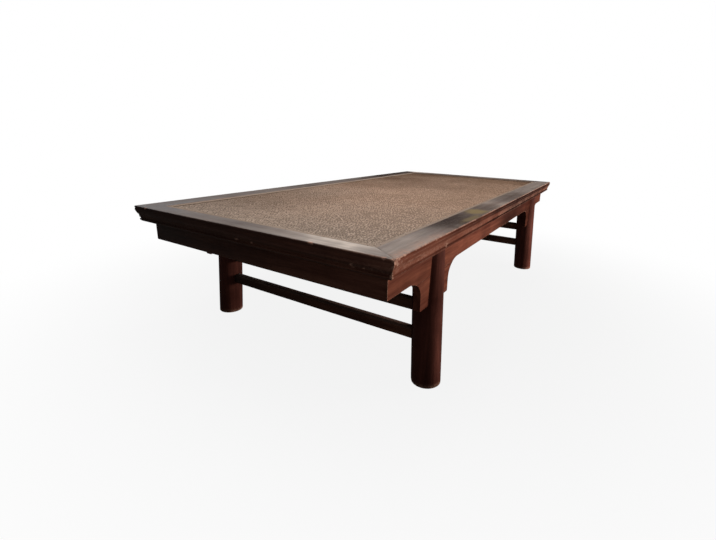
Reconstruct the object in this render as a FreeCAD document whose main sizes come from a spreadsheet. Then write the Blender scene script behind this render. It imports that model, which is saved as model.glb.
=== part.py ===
import FreeCAD, Part
import math
import os

import Sketcher

# Kang table: a low table with a mitred, moulded top frame round a woven mat,
# recessed round legs bridled over aprons and spandrels, and two stretchers at each end.
# X runs along the length, Y across it and Z up. The origin is on the floor under the middle.
# Left and right are the short ends at -X and +X. Front and back are the long sides at -Y and +Y.

DIMENSIONS = {
    # overall
    "table_length": 1640,
    "table_width": 836,
    "table_height": 400,
    # top frame
    "frame_thickness": 44,
    "long_face_width": 68,
    "end_face_width": 50,
    "ledge_width": 22,
    "moulding_depth": 13,
    # mat and the strips that press it down
    "mat_thickness": 4,
    "strip_thickness": 3,
    "strip_width": 11,
    "strip_drop": 1,
    "pin_diameter": 2.4,
    "pin_length": 16,
    "pin_inset": 4.5,
    # boards and battens under the mat
    "board_thickness": 12,
    "tongue_thickness": 6,
    "tongue_length": 8,
    "batten_width": 44,
    "batten_height": 22,
    "dovetail_depth": 4,
    "dovetail_flare": 2,
    "batten_tenon_length": 16,
    # corner joints of the frame
    "corner_tenon_width": 26,
    "corner_tenon_thickness": 14,
    "corner_tenon_stop": 16,
    "peg_diameter": 8,
    # aprons and spandrels
    "apron_height": 55,
    "apron_thickness": 18,
    "apron_inset_side": 33,
    "apron_inset_end": 37,
    "apron_tongue": 6,
    "spandrel_drop": 81,
    "spandrel_width": 162,
    "curve_width": 60,
    "curve_height": 44,
    "spandrel_corner": 3,
    # legs
    "leg_diameter": 76.5,
    "leg_inset_side": 38.5,
    "leg_inset_end": 261,
    "leg_lean_side": 20,
    "leg_lean_end": 11,
    "leg_tenon_height": 20,
    "leg_tenon_width": 36,
    "leg_tenon_front": 9,
    "leg_tenon_back": 12,
    # stretchers
    "stretcher_height": 32,
    "stretcher_depth": 26,
    "stretcher_round": 9,
    "stretcher_upper": 201,
    "stretcher_lower": 123,
    "stretcher_tenon_height": 20,
    "stretcher_tenon_thickness": 12,
    "stretcher_tenon_reach": 4,
    # fits and overruns
    "fit": 0.2,
    "mat_gap": 0.5,
    "tenon_gap": 0.5,
    "overrun": 30,
}

LONG_SIDE_PIN_COUNT = 15
END_PIN_COUNT = 7
BOARD_COUNT = 3

# The frame's edge, from the top down, as shares of the moulding's depth and of the frame's thickness.
# Each line is (inset, drop), and the lines named through are the middles of the arcs.
ARRIS_SHARES = (0.10, 0.0)
COVE_TOP_SHARES = (0.06, 0.07)
COVE_THROUGH_SHARES = (0.13, 0.135)
BAND_TOP_SHARES = (0.042, 0.20)
BAND_THROUGH_SHARES = (0.108, 0.39)
BAND_FOOT_SHARES = (0.48, 0.58)
GROOVE_TOP_SHARES = (0.62, 0.595)
GROOVE_FOOT_SHARES = (0.62, 0.65)
BEAD_TOP_SHARES = (0.51, 0.67)
BEAD_THROUGH_SHARES = (0.60, 0.825)
BEAD_FOOT_SHARES = (1.0, 1.0)

# Where the spandrel's curve passes from the apron to the spandrel, as a share of a quarter turn.
CURVE_JOIN_SHARE = 0.39

# How far the outer battens lie from the middle one, as a share of the table's length, and on which side.
OUTER_BATTEN_SHARE = 0.24
BATTEN_SIDES = {"left": -1, "middle": 0, "right": 1}

# A batten's tenon: its width as a share of the batten's, and each shoulder as a share of the batten's height.
BATTEN_TENON_WIDTH_SHARE = 0.667
BATTEN_SHOULDER_SHARE = 0.25

# How far the mitre cuts run, as a share of the way from the moulding's inner edge to the rails' inner corner.
MITRE_CUT_SHARE = 1.2

# The corner tenon's height above the frame's underside, as a share of the height that the tenon leaves free.
CORNER_TENON_RISE_SHARE = 0.25

# The first pin's distance from the end of a side, as a share of the strip's width.
FIRST_PIN_SHARE = 2.0

# The cosine of an eighth of a turn, where a rounded edge is halfway round.
HALFWAY_ROUND_SHARE = math.sqrt(0.5)


class Size:
    """A number together with the text that ties it to the sheet of sizes."""

    def __init__(self, value, text):
        self.value = value
        self.text = text

    def __add__(self, other):
        other = as_size(other)
        return Size(self.value + other.value, f"({self.text} + {other.text})")

    def __sub__(self, other):
        other = as_size(other)
        return Size(self.value - other.value, f"({self.text} - {other.text})")

    def __mul__(self, other):
        other = as_size(other)
        return Size(self.value * other.value, f"({self.text} * {other.text})")

    def __truediv__(self, other):
        other = as_size(other)
        return Size(self.value / other.value, f"({self.text} / {other.text})")

    def __neg__(self):
        return Size(-self.value, f"(0 - {self.text})")


def as_size(number):
    """A plain share or count as a Size."""
    if isinstance(number, Size):
        return number
    return Size(float(number), f"({number:.9f})")


doc = FreeCAD.newDocument("kang_table")
sheet = doc.addObject("Spreadsheet::Sheet", "sizes")


class Sizes:
    """The driving sizes by name, each one tied to its cell of the sheet."""

    def __init__(self, table):
        for row, (name, value) in enumerate(table.items(), start=1):
            sheet.set(f"A{row}", name)
            sheet.set(f"B{row}", str(value))
            sheet.setAlias(f"B{row}", name)
            setattr(self, name, Size(float(value), f"sizes.{name}"))


s = Sizes(DIMENSIONS)
doc.recompute()

ZERO = Size(0.0, "0")
pieces = []

# Heights above the floor
top = s.table_height
frame_bottom = top - s.frame_thickness
ledge_top = top - s.strip_drop - s.strip_thickness - s.mat_thickness
mat_top = ledge_top + s.mat_thickness
board_bottom = ledge_top - s.board_thickness
tongue_bottom = board_bottom + (s.board_thickness - s.tongue_thickness) / 2
tongue_top = tongue_bottom + s.tongue_thickness
batten_bottom = board_bottom - s.batten_height
apron_bottom = frame_bottom - s.apron_height
spandrel_bottom = apron_bottom - s.spandrel_drop
corner_tenon_bottom = frame_bottom + (s.frame_thickness - s.corner_tenon_thickness) * CORNER_TENON_RISE_SHARE

# Lengths in plan, from the middle of the table
half_length = s.table_length / 2
half_width = s.table_width / 2
mitre_slope = (s.long_face_width - s.moulding_depth) / (s.end_face_width - s.moulding_depth)
end_ledge_width = s.ledge_width / mitre_slope
long_rail_width = s.long_face_width + s.ledge_width
end_rail_width = s.end_face_width + end_ledge_width
inner_half_length = half_length - end_rail_width
inner_half_width = half_width - long_rail_width
field_half_length = half_length - s.end_face_width
field_half_width = half_width - s.long_face_width

# Lengths that reach past the table on both sides
through_width = s.table_width + s.overrun * 2
through_length = s.table_length + s.overrun * 2

# Outer and inner faces of the front apron, and the outer face of the left one
apron_front_y = -(half_width - s.apron_inset_side)
apron_back_y = apron_front_y + s.apron_thickness
apron_left_x = -(half_length - s.apron_inset_end)

leg_radius = s.leg_diameter / 2


def bind(thing, path, size):
    """Tie one property of an object to a size."""
    thing.setExpression(path, size.text)


def body_named(label):
    body = doc.addObject("PartDesign::Body", label)
    body.Label = label
    pieces.append(body)
    return body


def turned(body):
    """Turn a finished piece half a turn about the table's upright axis."""
    body.Placement = FreeCAD.Placement(FreeCAD.Vector(), FreeCAD.Rotation(FreeCAD.Vector(0, 0, 1), 180))


def sketch_on(body, role, offset=ZERO):
    """An empty sketch on one of the body's own planes, moved along the plane's normal."""
    sketch = body.newObject("Sketcher::SketchObject", f"{body.Name}_sketch")
    plane = next(feature for feature in body.Origin.OriginFeatures if feature.Role == role)
    sketch.AttachmentSupport = [(plane, "")]
    sketch.MapMode = "FlatFace"
    bind(sketch, "AttachmentOffset.Base.z", offset)
    return sketch


def flat_sketch(body, height=ZERO):
    """A sketch in plan at a height."""
    return sketch_on(body, "XY_Plane", height)


def front_sketch(body, y=ZERO):
    """A sketch in front view, with X across and Z up, at a place along Y."""
    return sketch_on(body, "XZ_Plane", -y)


def side_sketch(body, x=ZERO):
    """A sketch in side view, with Y across and Z up, at a place along X."""
    return sketch_on(body, "YZ_Plane", x)


def fix_point(sketch, geometry, end, x, y):
    """Hold a point of a sketch at two sizes from the sketch's origin."""
    for kind, size in (("DistanceX", x), ("DistanceY", y)):
        index = sketch.addConstraint(Sketcher.Constraint(kind, -1, 1, geometry, end, size.value))
        bind(sketch, f"Constraints[{index}]", size)


def outline(sketch, corners):
    """Closed outline through corners (x, y), or (x, y, through_x, through_y) where an arc follows."""
    ends = []
    for number, corner in enumerate(corners):
        following = corners[(number + 1) % len(corners)]
        start = FreeCAD.Vector(corner[0].value, corner[1].value, 0)
        finish = FreeCAD.Vector(following[0].value, following[1].value, 0)
        if len(corner) == 2:
            edge = sketch.addGeometry(Part.LineSegment(start, finish))
            ends.append((edge, 1, 2))
            continue
        middle = FreeCAD.Vector(corner[2].value, corner[3].value, 0)
        # a sketch keeps its arcs anticlockwise, so one that turns the other way is drawn from its far end
        anticlockwise = (middle - start).cross(finish - start).z > 0
        if anticlockwise:
            edge = sketch.addGeometry(Part.ArcOfCircle(start, middle, finish))
            ends.append((edge, 1, 2))
        else:
            edge = sketch.addGeometry(Part.ArcOfCircle(finish, middle, start))
            ends.append((edge, 2, 1))
        guide = sketch.addGeometry(Part.Point(middle), True)
        fix_point(sketch, guide, 1, corner[2], corner[3])
        sketch.addConstraint(Sketcher.Constraint("PointOnObject", guide, 1, edge))
    for number, corner in enumerate(corners):
        edge, begin, _ = ends[number]
        before, _, end = ends[number - 1]
        sketch.addConstraint(Sketcher.Constraint("Coincident", before, end, edge, begin))
        fix_point(sketch, edge, begin, corner[0], corner[1])


def rectangle(sketch, x0, x1, y0, y1):
    outline(sketch, [(x0, y0), (x1, y0), (x1, y1), (x0, y1)])


def circle(sketch, x, y, diameter):
    centre = FreeCAD.Vector(x.value, y.value, 0)
    edge = sketch.addGeometry(Part.Circle(centre, FreeCAD.Vector(0, 0, 1), diameter.value / 2))
    fix_point(sketch, edge, 3, x, y)
    index = sketch.addConstraint(Sketcher.Constraint("Diameter", edge, diameter.value))
    bind(sketch, f"Constraints[{index}]", diameter)


def set_reach(feature, length, side):
    """Length of a pad or pocket: along the plane's normal, against it or to both sides."""
    bind(feature, "Length", length)
    if side == "both":
        feature.SideType = "Symmetric"
    feature.Reversed = side == "back"


def lean_along(feature, lean):
    """Let a pad or pocket run along a leaning line, given as how far it moves in X and Y over its rise."""
    feature.UseCustomVector = True
    feature.AlongSketchNormal = True
    feature.Direction = FreeCAD.Vector(lean[0].value, lean[1].value, lean[2].value)
    bind(feature, "Direction.x", lean[0])
    bind(feature, "Direction.y", lean[1])
    bind(feature, "Direction.z", lean[2])


def pad(body, sketch, length, side="front", lean=None):
    feature = body.newObject("PartDesign::Pad", f"{body.Name}_pad")
    feature.Profile = sketch
    set_reach(feature, length, side)
    if lean:
        lean_along(feature, lean)
    doc.recompute()


def pocket(body, sketch, length, side="front", lean=None):
    """Cut a sketch into a body, and stop if the cut takes nothing away."""
    before = body.Shape.Volume
    feature = body.newObject("PartDesign::Pocket", f"{body.Name}_pocket")
    feature.Profile = sketch
    set_reach(feature, length, side)
    # a pocket's own direction is against its sketch's normal, unless it runs along a leaning line
    feature.Reversed = side == "front" and not lean
    if lean:
        lean_along(feature, lean)
    doc.recompute()
    if body.Shape.Volume >= before:
        raise RuntimeError(f"{body.Label}: a pocket cuts nothing")


def moulded_edge(edge):
    """Corners of the moulded edge from the arris down, for a rail whose outer face is at an edge."""

    def place(shares):
        return (edge + s.moulding_depth * shares[0], top - s.frame_thickness * shares[1])

    return [
        place(ARRIS_SHARES),
        place(COVE_TOP_SHARES) + place(COVE_THROUGH_SHARES),
        place(BAND_TOP_SHARES) + place(BAND_THROUGH_SHARES),
        place(BAND_FOOT_SHARES),
        place(GROOVE_TOP_SHARES),
        place(GROOVE_FOOT_SHARES),
        place(BEAD_TOP_SHARES) + place(BEAD_THROUGH_SHARES),
        place(BEAD_FOOT_SHARES),
    ]


def rail_section(edge, width, face_width, apron_inset):
    """Section of a frame rail: moulded outside, grooved below for the apron, rebated and grooved inside."""
    inner = edge + width
    face_end = edge + face_width
    groove_near = edge + apron_inset + (s.apron_thickness - s.apron_tongue) / 2
    groove_far = groove_near + s.apron_tongue
    groove_top = frame_bottom + s.apron_tongue + s.fit
    groove_back = inner - s.tongue_length - s.fit
    return moulded_edge(edge) + [
        (groove_near - s.fit, frame_bottom),
        (groove_near - s.fit, groove_top),
        (groove_far + s.fit, groove_top),
        (groove_far + s.fit, frame_bottom),
        (inner, frame_bottom),
        (inner, tongue_bottom - s.fit),
        (groove_back, tongue_bottom - s.fit),
        (groove_back, tongue_top + s.fit),
        (inner, tongue_top + s.fit),
        (inner, ledge_top),
        (face_end, ledge_top),
        (face_end, top),
    ]


def mitre_line():
    """The left front mitre from outside the table inwards.

    It halves the corner as far as the mouldings reach, and then runs straight to the rails' inner corner.
    """
    outer = (-half_length - s.overrun, -half_width - s.overrun)
    bend = (-half_length + s.moulding_depth, -half_width + s.moulding_depth)
    run_x = (end_rail_width - s.moulding_depth) * MITRE_CUT_SHARE
    run_y = (long_rail_width - s.moulding_depth) * MITRE_CUT_SHARE
    return [outer, bend, (bend[0] + run_x, bend[1] + run_y)]


def cut_long_rail_mitres(body):
    """Cut both ends of the front rail back to the mitre lines."""
    seam = mitre_line()
    away = seam[0][0] - s.overrun
    corners = seam + [(away, seam[-1][1]), (away, seam[0][1])]
    sketch = flat_sketch(body, frame_bottom - s.overrun)
    outline(sketch, corners)
    outline(sketch, [(-x, y) for x, y in corners])
    pocket(body, sketch, s.frame_thickness + s.overrun * 2)


def cut_end_rail_mitres(body):
    """Cut both ends of the left rail back to the mitre lines."""
    seam = mitre_line()
    away = seam[0][1] - s.overrun
    corners = seam + [(seam[-1][0], away), (seam[0][0], away)]
    sketch = flat_sketch(body, frame_bottom - s.overrun)
    outline(sketch, corners)
    outline(sketch, [(x, -y) for x, y in corners])
    pocket(body, sketch, s.frame_thickness + s.overrun * 2)


# Corner tenons lie in the middle of the long rail's face width
corner_tenon_y0 = -half_width + (s.long_face_width - s.corner_tenon_width) / 2
corner_tenon_y1 = corner_tenon_y0 + s.corner_tenon_width
corner_tenon_end = half_length - s.corner_tenon_stop
corner_tenon_root = half_length - s.end_face_width
peg_y = (corner_tenon_y0 + corner_tenon_y1) / 2
peg_x = half_length - s.corner_tenon_stop - s.peg_diameter
peg_top = corner_tenon_bottom + s.corner_tenon_thickness + s.peg_diameter / 2


def leg_axis(height):
    """Distances of a leg's axis from the table's middle at a height, along X and along Y."""
    rise = height / s.table_height
    return (
        half_length - s.leg_inset_end - s.leg_lean_end * rise,
        half_width - s.leg_inset_side - s.leg_lean_side * rise,
    )


def pin_places(half, inset, count):
    """Places of the pins along one side, evenly spaced between the strip's mitres."""
    run = half - inset
    return [run * (2 * number / (count - 1) - 1) for number in range(count)]


long_pin_x = pin_places(field_half_length, s.strip_width * FIRST_PIN_SHARE, LONG_SIDE_PIN_COUNT)
end_pin_y = pin_places(field_half_width, s.strip_width * FIRST_PIN_SHARE, END_PIN_COUNT)
pin_bottom = mat_top + s.strip_thickness - s.pin_length


def batten_x(name):
    return s.table_length * OUTER_BATTEN_SHARE * BATTEN_SIDES[name]


def long_rail(label):
    """Front rail: moulded section, mitred ends with tenons, mortises for legs and battens."""
    body = body_named(label)
    section = side_sketch(body)
    outline(section, rail_section(-half_width, long_rail_width, s.long_face_width, s.apron_inset_side))
    pad(body, section, through_length, "both")
    cut_long_rail_mitres(body)
    for sign in (-1, 1):
        tenon = side_sketch(body, corner_tenon_end * sign)
        rectangle(tenon, corner_tenon_y0, corner_tenon_y1, corner_tenon_bottom,
                  corner_tenon_bottom + s.corner_tenon_thickness)
        pad(body, tenon, corner_tenon_end - corner_tenon_root, "front" if sign < 0 else "back")
    pegs = flat_sketch(body, frame_bottom)
    for sign in (-1, 1):
        circle(pegs, peg_x * sign, peg_y, s.peg_diameter)
    pocket(body, pegs, peg_top - frame_bottom)
    shoulder_x, _ = leg_axis(frame_bottom)
    mortises = flat_sketch(body, frame_bottom)
    for sign in (-1, 1):
        near = shoulder_x * sign - s.leg_tenon_width / 2 - s.fit
        far = shoulder_x * sign + s.leg_tenon_width / 2 + s.fit
        rectangle(mortises, near, far, apron_front_y - s.leg_tenon_front - s.fit, apron_front_y)
        rectangle(mortises, near, far, apron_back_y + s.fit, apron_back_y + s.leg_tenon_back + s.fit * 2)
    pocket(body, mortises, s.leg_tenon_height + s.tenon_gap)
    batten_mortises = front_sketch(body, -inner_half_width)
    for name in BATTEN_SIDES:
        x0, x1, z0, z1 = batten_tenon(name)
        rectangle(batten_mortises, x0 - s.fit, x1 + s.fit, z0 - s.fit, z1 + s.fit)
    pocket(body, batten_mortises, s.batten_tenon_length + s.tenon_gap)
    pins = flat_sketch(body, pin_bottom)
    for x in long_pin_x:
        circle(pins, x, -field_half_width + s.pin_inset, s.pin_diameter)
    pocket(body, pins, s.pin_length)
    return body


def end_rail(label):
    """Left rail: moulded section, mitred ends with mortises for the corner tenons."""
    body = body_named(label)
    section = front_sketch(body)
    outline(section, rail_section(-half_length, end_rail_width, s.end_face_width, s.apron_inset_end))
    pad(body, section, through_width, "both")
    cut_end_rail_mitres(body)
    mortises = side_sketch(body, -corner_tenon_end - s.tenon_gap)
    for sign in (-1, 1):
        rectangle(mortises, corner_tenon_y0 * sign + s.fit * sign, corner_tenon_y1 * sign - s.fit * sign,
                  corner_tenon_bottom - s.fit, corner_tenon_bottom + s.corner_tenon_thickness + s.fit)
    pocket(body, mortises, corner_tenon_end - corner_tenon_root + s.overrun)
    pegs = flat_sketch(body, frame_bottom)
    for sign in (-1, 1):
        circle(pegs, -peg_x, peg_y * sign, s.peg_diameter)
    pocket(body, pegs, peg_top - frame_bottom)
    pins = flat_sketch(body, pin_bottom)
    for y in end_pin_y:
        circle(pins, -field_half_length + s.pin_inset, y, s.pin_diameter)
    pocket(body, pins, s.pin_length)
    return body


def batten_tenon(name):
    """Sides of a batten's tenon: X range and Z range."""
    middle = batten_x(name)
    half = s.batten_width * BATTEN_TENON_WIDTH_SHARE / 2
    shoulder = s.batten_height * BATTEN_SHOULDER_SHARE
    return (middle - half, middle + half, batten_bottom + shoulder, board_bottom - shoulder)


def dovetail(name, clearance):
    """Dovetail section on top of a batten, or its groove in the boards with a clearance."""
    middle = batten_x(name)
    root = s.batten_width / 2 - s.dovetail_flare * 2 + clearance
    tip = root + s.dovetail_flare
    peak = board_bottom + s.dovetail_depth + clearance
    return [
        (middle - root, board_bottom),
        (middle - tip, peak),
        (middle + tip, peak),
        (middle + root, board_bottom),
    ]


def batten(name):
    """Cross batten: a bar with a dovetail along its top and a tenon at each end."""
    body = body_named(f"batten_{name}")
    middle = batten_x(name)
    half = s.batten_width / 2
    section = front_sketch(body)
    outline(section, [(middle + half, board_bottom), (middle + half, batten_bottom),
                      (middle - half, batten_bottom), (middle - half, board_bottom)] + dovetail(name, ZERO))
    pad(body, section, inner_half_width * 2, "both")
    tenon = front_sketch(body)
    rectangle(tenon, *batten_tenon(name))
    pad(body, tenon, (inner_half_width + s.batten_tenon_length) * 2, "both")


def panel_board(name, y0, y1, left_tongue, right_tongue):
    """A board of the panel, from y0 to y1. A tongue is +1 where it stands out and -1 where it is a groove."""
    body = body_named(f"panel_board_{name}")
    reach = s.tongue_length

    def edge(y, outward, kind):
        grow = s.fit if kind < 0 else ZERO
        tip = y + reach * outward * kind + grow * outward * kind
        low = tongue_bottom - grow
        high = tongue_top + grow
        return [(y, low), (tip, low), (tip, high), (y, high)]

    section = side_sketch(body)
    left = edge(y0, -1, left_tongue)
    right = edge(y1, 1, right_tongue)
    outline(section, [(y0, board_bottom)] + left + [(y0, ledge_top), (y1, ledge_top)]
            + right[::-1] + [(y1, board_bottom)])
    pad(body, section, (inner_half_length + reach) * 2, "both")
    shoulders = front_sketch(body)
    for sign in (-1, 1):
        inner = inner_half_length * sign
        outer = (inner_half_length + s.overrun) * sign
        rectangle(shoulders, inner, outer, tongue_top, top)
        rectangle(shoulders, inner, outer, frame_bottom, tongue_bottom)
    pocket(body, shoulders, through_width, "both")
    grooves = front_sketch(body)
    for batten_name in BATTEN_SIDES:
        corners = dovetail(batten_name, s.fit)
        below = board_bottom - s.overrun
        outline(grooves, [(corners[0][0], below)] + corners + [(corners[3][0], below)])
    pocket(body, grooves, through_width, "both")


def woven_mat():
    """The mat as a flat sheet, with the holes that its pins pass through."""
    body = body_named("woven_mat")
    plan = flat_sketch(body, ledge_top)
    half_x = field_half_length - s.mat_gap
    half_y = field_half_width - s.mat_gap
    rectangle(plan, -half_x, half_x, -half_y, half_y)
    pad(body, plan, s.mat_thickness)
    pins = flat_sketch(body, ledge_top)
    for sign in (-1, 1):
        for x in long_pin_x:
            circle(pins, x, (field_half_width - s.pin_inset) * sign, s.pin_diameter)
        for y in end_pin_y:
            circle(pins, (field_half_length - s.pin_inset) * sign, y, s.pin_diameter)
    pocket(body, pins, s.mat_thickness)


def long_strip(label):
    """Front pressing strip, mitred at both ends."""
    body = body_named(label)
    half_x = field_half_length - s.mat_gap
    outer = -(field_half_width - s.mat_gap)
    inner = outer + s.strip_width
    plan = flat_sketch(body, mat_top)
    inner_x = half_x - s.strip_width
    outline(plan, [(-half_x, outer), (half_x, outer), (inner_x, inner), (-inner_x, inner)])
    pad(body, plan, s.strip_thickness)
    pins = flat_sketch(body, mat_top)
    for x in long_pin_x:
        circle(pins, x, -field_half_width + s.pin_inset, s.pin_diameter)
    pocket(body, pins, s.strip_thickness)
    return body


def end_strip(label):
    """Left pressing strip, mitred at both ends."""
    body = body_named(label)
    half_y = field_half_width - s.mat_gap
    outer = -(field_half_length - s.mat_gap)
    inner = outer + s.strip_width
    plan = flat_sketch(body, mat_top)
    inner_y = half_y - s.strip_width
    outline(plan, [(outer, -half_y), (inner, -inner_y), (inner, inner_y), (outer, half_y)])
    pad(body, plan, s.strip_thickness)
    pins = flat_sketch(body, mat_top)
    for y in end_pin_y:
        circle(pins, -field_half_length + s.pin_inset, y, s.pin_diameter)
    pocket(body, pins, s.strip_thickness)
    return body


def upright_rods(label, places, bottom, length, diameter):
    """A group of equal upright rods in one node."""
    rods = []
    for x, y in places:
        rod = doc.addObject("Part::Cylinder", f"{label}_rod")
        bind(rod, "Radius", diameter / 2)
        bind(rod, "Height", length)
        bind(rod, "Placement.Base.x", x)
        bind(rod, "Placement.Base.y", y)
        bind(rod, "Placement.Base.z", bottom)
        rods.append(rod)
    group = doc.addObject("Part::Compound", label)
    group.Label = label
    group.Links = rods
    pieces.append(group)


def strip_pins():
    places = []
    for sign in (-1, 1):
        places += [(x, (field_half_width - s.pin_inset) * sign) for x in long_pin_x]
        places += [((field_half_length - s.pin_inset) * sign, y) for y in end_pin_y]
    upright_rods("strip_pins", places, pin_bottom, s.pin_length, s.pin_diameter)


def corner_pegs():
    places = [(peg_x * sx, peg_y * sy) for sx in (-1, 1) for sy in (-1, 1)]
    upright_rods("corner_pegs", places, frame_bottom, peg_top - frame_bottom, s.peg_diameter)


def curve_point(share):
    """A point on the spandrel's quarter curve: how far from the leg's axis, and how far below the apron."""
    turn = math.pi / 2 * share
    out = s.spandrel_width / 2 + s.curve_width * (1 - math.sin(turn))
    drop = s.curve_height * (1 - math.cos(turn))
    return (out, drop)


spandrel_x, _ = leg_axis(apron_bottom)
join_out, join_drop = curve_point(CURVE_JOIN_SHARE)
join_height = apron_bottom - join_drop


def apron_ends_cut(body):
    """Mitre the ends of a long apron where it meets the end aprons."""
    corner_x = -apron_left_x
    run = s.apron_thickness + s.overrun
    away = corner_x + s.overrun * 2
    sketch = flat_sketch(body, spandrel_bottom)
    for sign in (-1, 1):
        outline(sketch, [
            ((corner_x + s.overrun) * sign, apron_front_y - s.overrun),
            ((corner_x - run) * sign, apron_front_y + run),
            (away * sign, apron_front_y + run),
            (away * sign, apron_front_y - s.overrun),
        ])
    pocket(body, sketch, s.table_height)


def long_apron(label):
    """Front apron: a straight board that dips beside each leg to carry on the spandrels' curves."""
    body = body_named(label)
    end = -apron_left_x
    upper_middle = curve_point(CURVE_JOIN_SHARE / 2)
    flare_out, _ = curve_point(0)
    corners = [(-end, frame_bottom), (-end, apron_bottom)]
    for sign in (-1, 1):
        axis = spandrel_x * sign
        middle_height = apron_bottom - upper_middle[1]
        corners += [
            (axis - flare_out, apron_bottom, axis - upper_middle[0], middle_height),
            (axis - join_out, join_height),
            (axis + join_out, join_height, axis + upper_middle[0], middle_height),
            (axis + flare_out, apron_bottom),
        ]
    corners += [(end, apron_bottom), (end, frame_bottom)]
    board = front_sketch(body, apron_front_y)
    outline(board, corners)
    pad(body, board, s.apron_thickness, "back")
    tongue = side_sketch(body)
    near = apron_front_y + (s.apron_thickness - s.apron_tongue) / 2
    rectangle(tongue, near, near + s.apron_tongue,
              apron_bottom + s.apron_tongue, frame_bottom + s.apron_tongue)
    pad(body, tongue, end * 2, "both")
    grooves = front_sketch(body, near - s.fit)
    for sign in (-1, 1):
        axis = spandrel_x * sign
        half = s.spandrel_width / 2 + s.fit
        rectangle(grooves, axis - half, axis + half,
                  join_height - s.overrun, join_height + s.apron_tongue + s.fit)
    pocket(body, grooves, s.apron_tongue + s.fit * 2, "back")
    apron_ends_cut(body)
    return body


def end_apron(label):
    """Left apron: a plain straight board, mitred to the long aprons."""
    body = body_named(label)
    inner_x = apron_left_x + s.apron_thickness
    inner_y = apron_front_y + s.apron_thickness
    plan = flat_sketch(body, apron_bottom)
    outline(plan, [(apron_left_x, apron_front_y), (inner_x, inner_y), (inner_x, -inner_y),
                   (apron_left_x, -apron_front_y)])
    pad(body, plan, s.apron_height)
    side = (s.apron_thickness - s.apron_tongue) / 2
    tongue = flat_sketch(body, frame_bottom)
    near = side + s.apron_tongue
    outline(tongue, [
        (apron_left_x + side, apron_front_y + side),
        (apron_left_x + near, apron_front_y + near),
        (apron_left_x + near, -apron_front_y - near),
        (apron_left_x + side, -apron_front_y - side),
    ])
    pad(body, tongue, s.apron_tongue)
    return body


def spandrel(side, sign):
    """Spandrel of a front leg: one board that shows on both sides of the leg, tongued up into the apron."""
    body = body_named(f"spandrel_{side}")
    axis = spandrel_x * sign
    half = s.spandrel_width / 2
    knee = apron_bottom - s.curve_height
    lower_middle = curve_point((1 + CURVE_JOIN_SHARE) / 2)
    middle_height = apron_bottom - lower_middle[1]
    round_near = s.spandrel_corner * (1 - HALFWAY_ROUND_SHARE)
    corner_low = spandrel_bottom + round_near
    board = front_sketch(body, apron_front_y)
    outline(board, [
        (axis - join_out, join_height, axis - lower_middle[0], middle_height),
        (axis - half, knee),
        (axis - half, spandrel_bottom + s.spandrel_corner, axis - half + round_near, corner_low),
        (axis - half + s.spandrel_corner, spandrel_bottom),
        (axis + half - s.spandrel_corner, spandrel_bottom, axis + half - round_near, corner_low),
        (axis + half, spandrel_bottom + s.spandrel_corner),
        (axis + half, knee, axis + lower_middle[0], middle_height),
        (axis + join_out, join_height),
    ])
    pad(body, board, s.apron_thickness, "back")
    near = apron_front_y + (s.apron_thickness - s.apron_tongue) / 2
    tongue = front_sketch(body, near)
    rectangle(tongue, axis - half, axis + half, knee, join_height + s.apron_tongue)
    pad(body, tongue, s.apron_tongue, "back")
    return body


def leaning(sign):
    """Direction of a front leg's axis, upwards: a leg leans out towards its foot."""
    return (s.leg_lean_end * -sign, s.leg_lean_side, s.table_height)


def leg(name, sign):
    """Front leg: a leaning round post, slotted for the apron, with two tenons and two mortises."""
    body = body_named(f"leg_{name}")
    foot_x, foot_y = leg_axis(ZERO)
    foot = flat_sketch(body)
    circle(foot, foot_x * sign, -foot_y, s.leg_diameter)
    pad(body, foot, frame_bottom, lean=leaning(sign))
    shoulder_x, _ = leg_axis(frame_bottom)
    middle = shoulder_x * sign
    half = s.leg_tenon_width / 2
    tenons = flat_sketch(body, frame_bottom - s.leg_tenon_height)
    rectangle(tenons, middle - half, middle + half, apron_front_y - s.leg_tenon_front, apron_front_y)
    rectangle(tenons, middle - half, middle + half,
              apron_back_y + s.fit, apron_back_y + s.leg_tenon_back + s.fit)
    pad(body, tenons, s.leg_tenon_height * 2)
    slot = flat_sketch(body, spandrel_bottom)
    slot_half = s.leg_diameter
    rectangle(slot, middle - slot_half, middle + slot_half, apron_front_y, apron_back_y + s.fit)
    pocket(body, slot, s.table_height)
    for height in (s.stretcher_upper, s.stretcher_lower):
        axis_x, axis_y = leg_axis(height)
        reach = s.stretcher_tenon_reach + s.tenon_gap
        width = s.stretcher_tenon_thickness / 2 + s.fit
        rise = s.stretcher_tenon_height / 2 + s.fit
        mortise = front_sketch(body, -axis_y - reach)
        rectangle(mortise, axis_x * sign - width, axis_x * sign + width, height - rise, height + rise)
        pocket(body, mortise, leg_radius + reach + s.overrun, "back")
    return body


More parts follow.
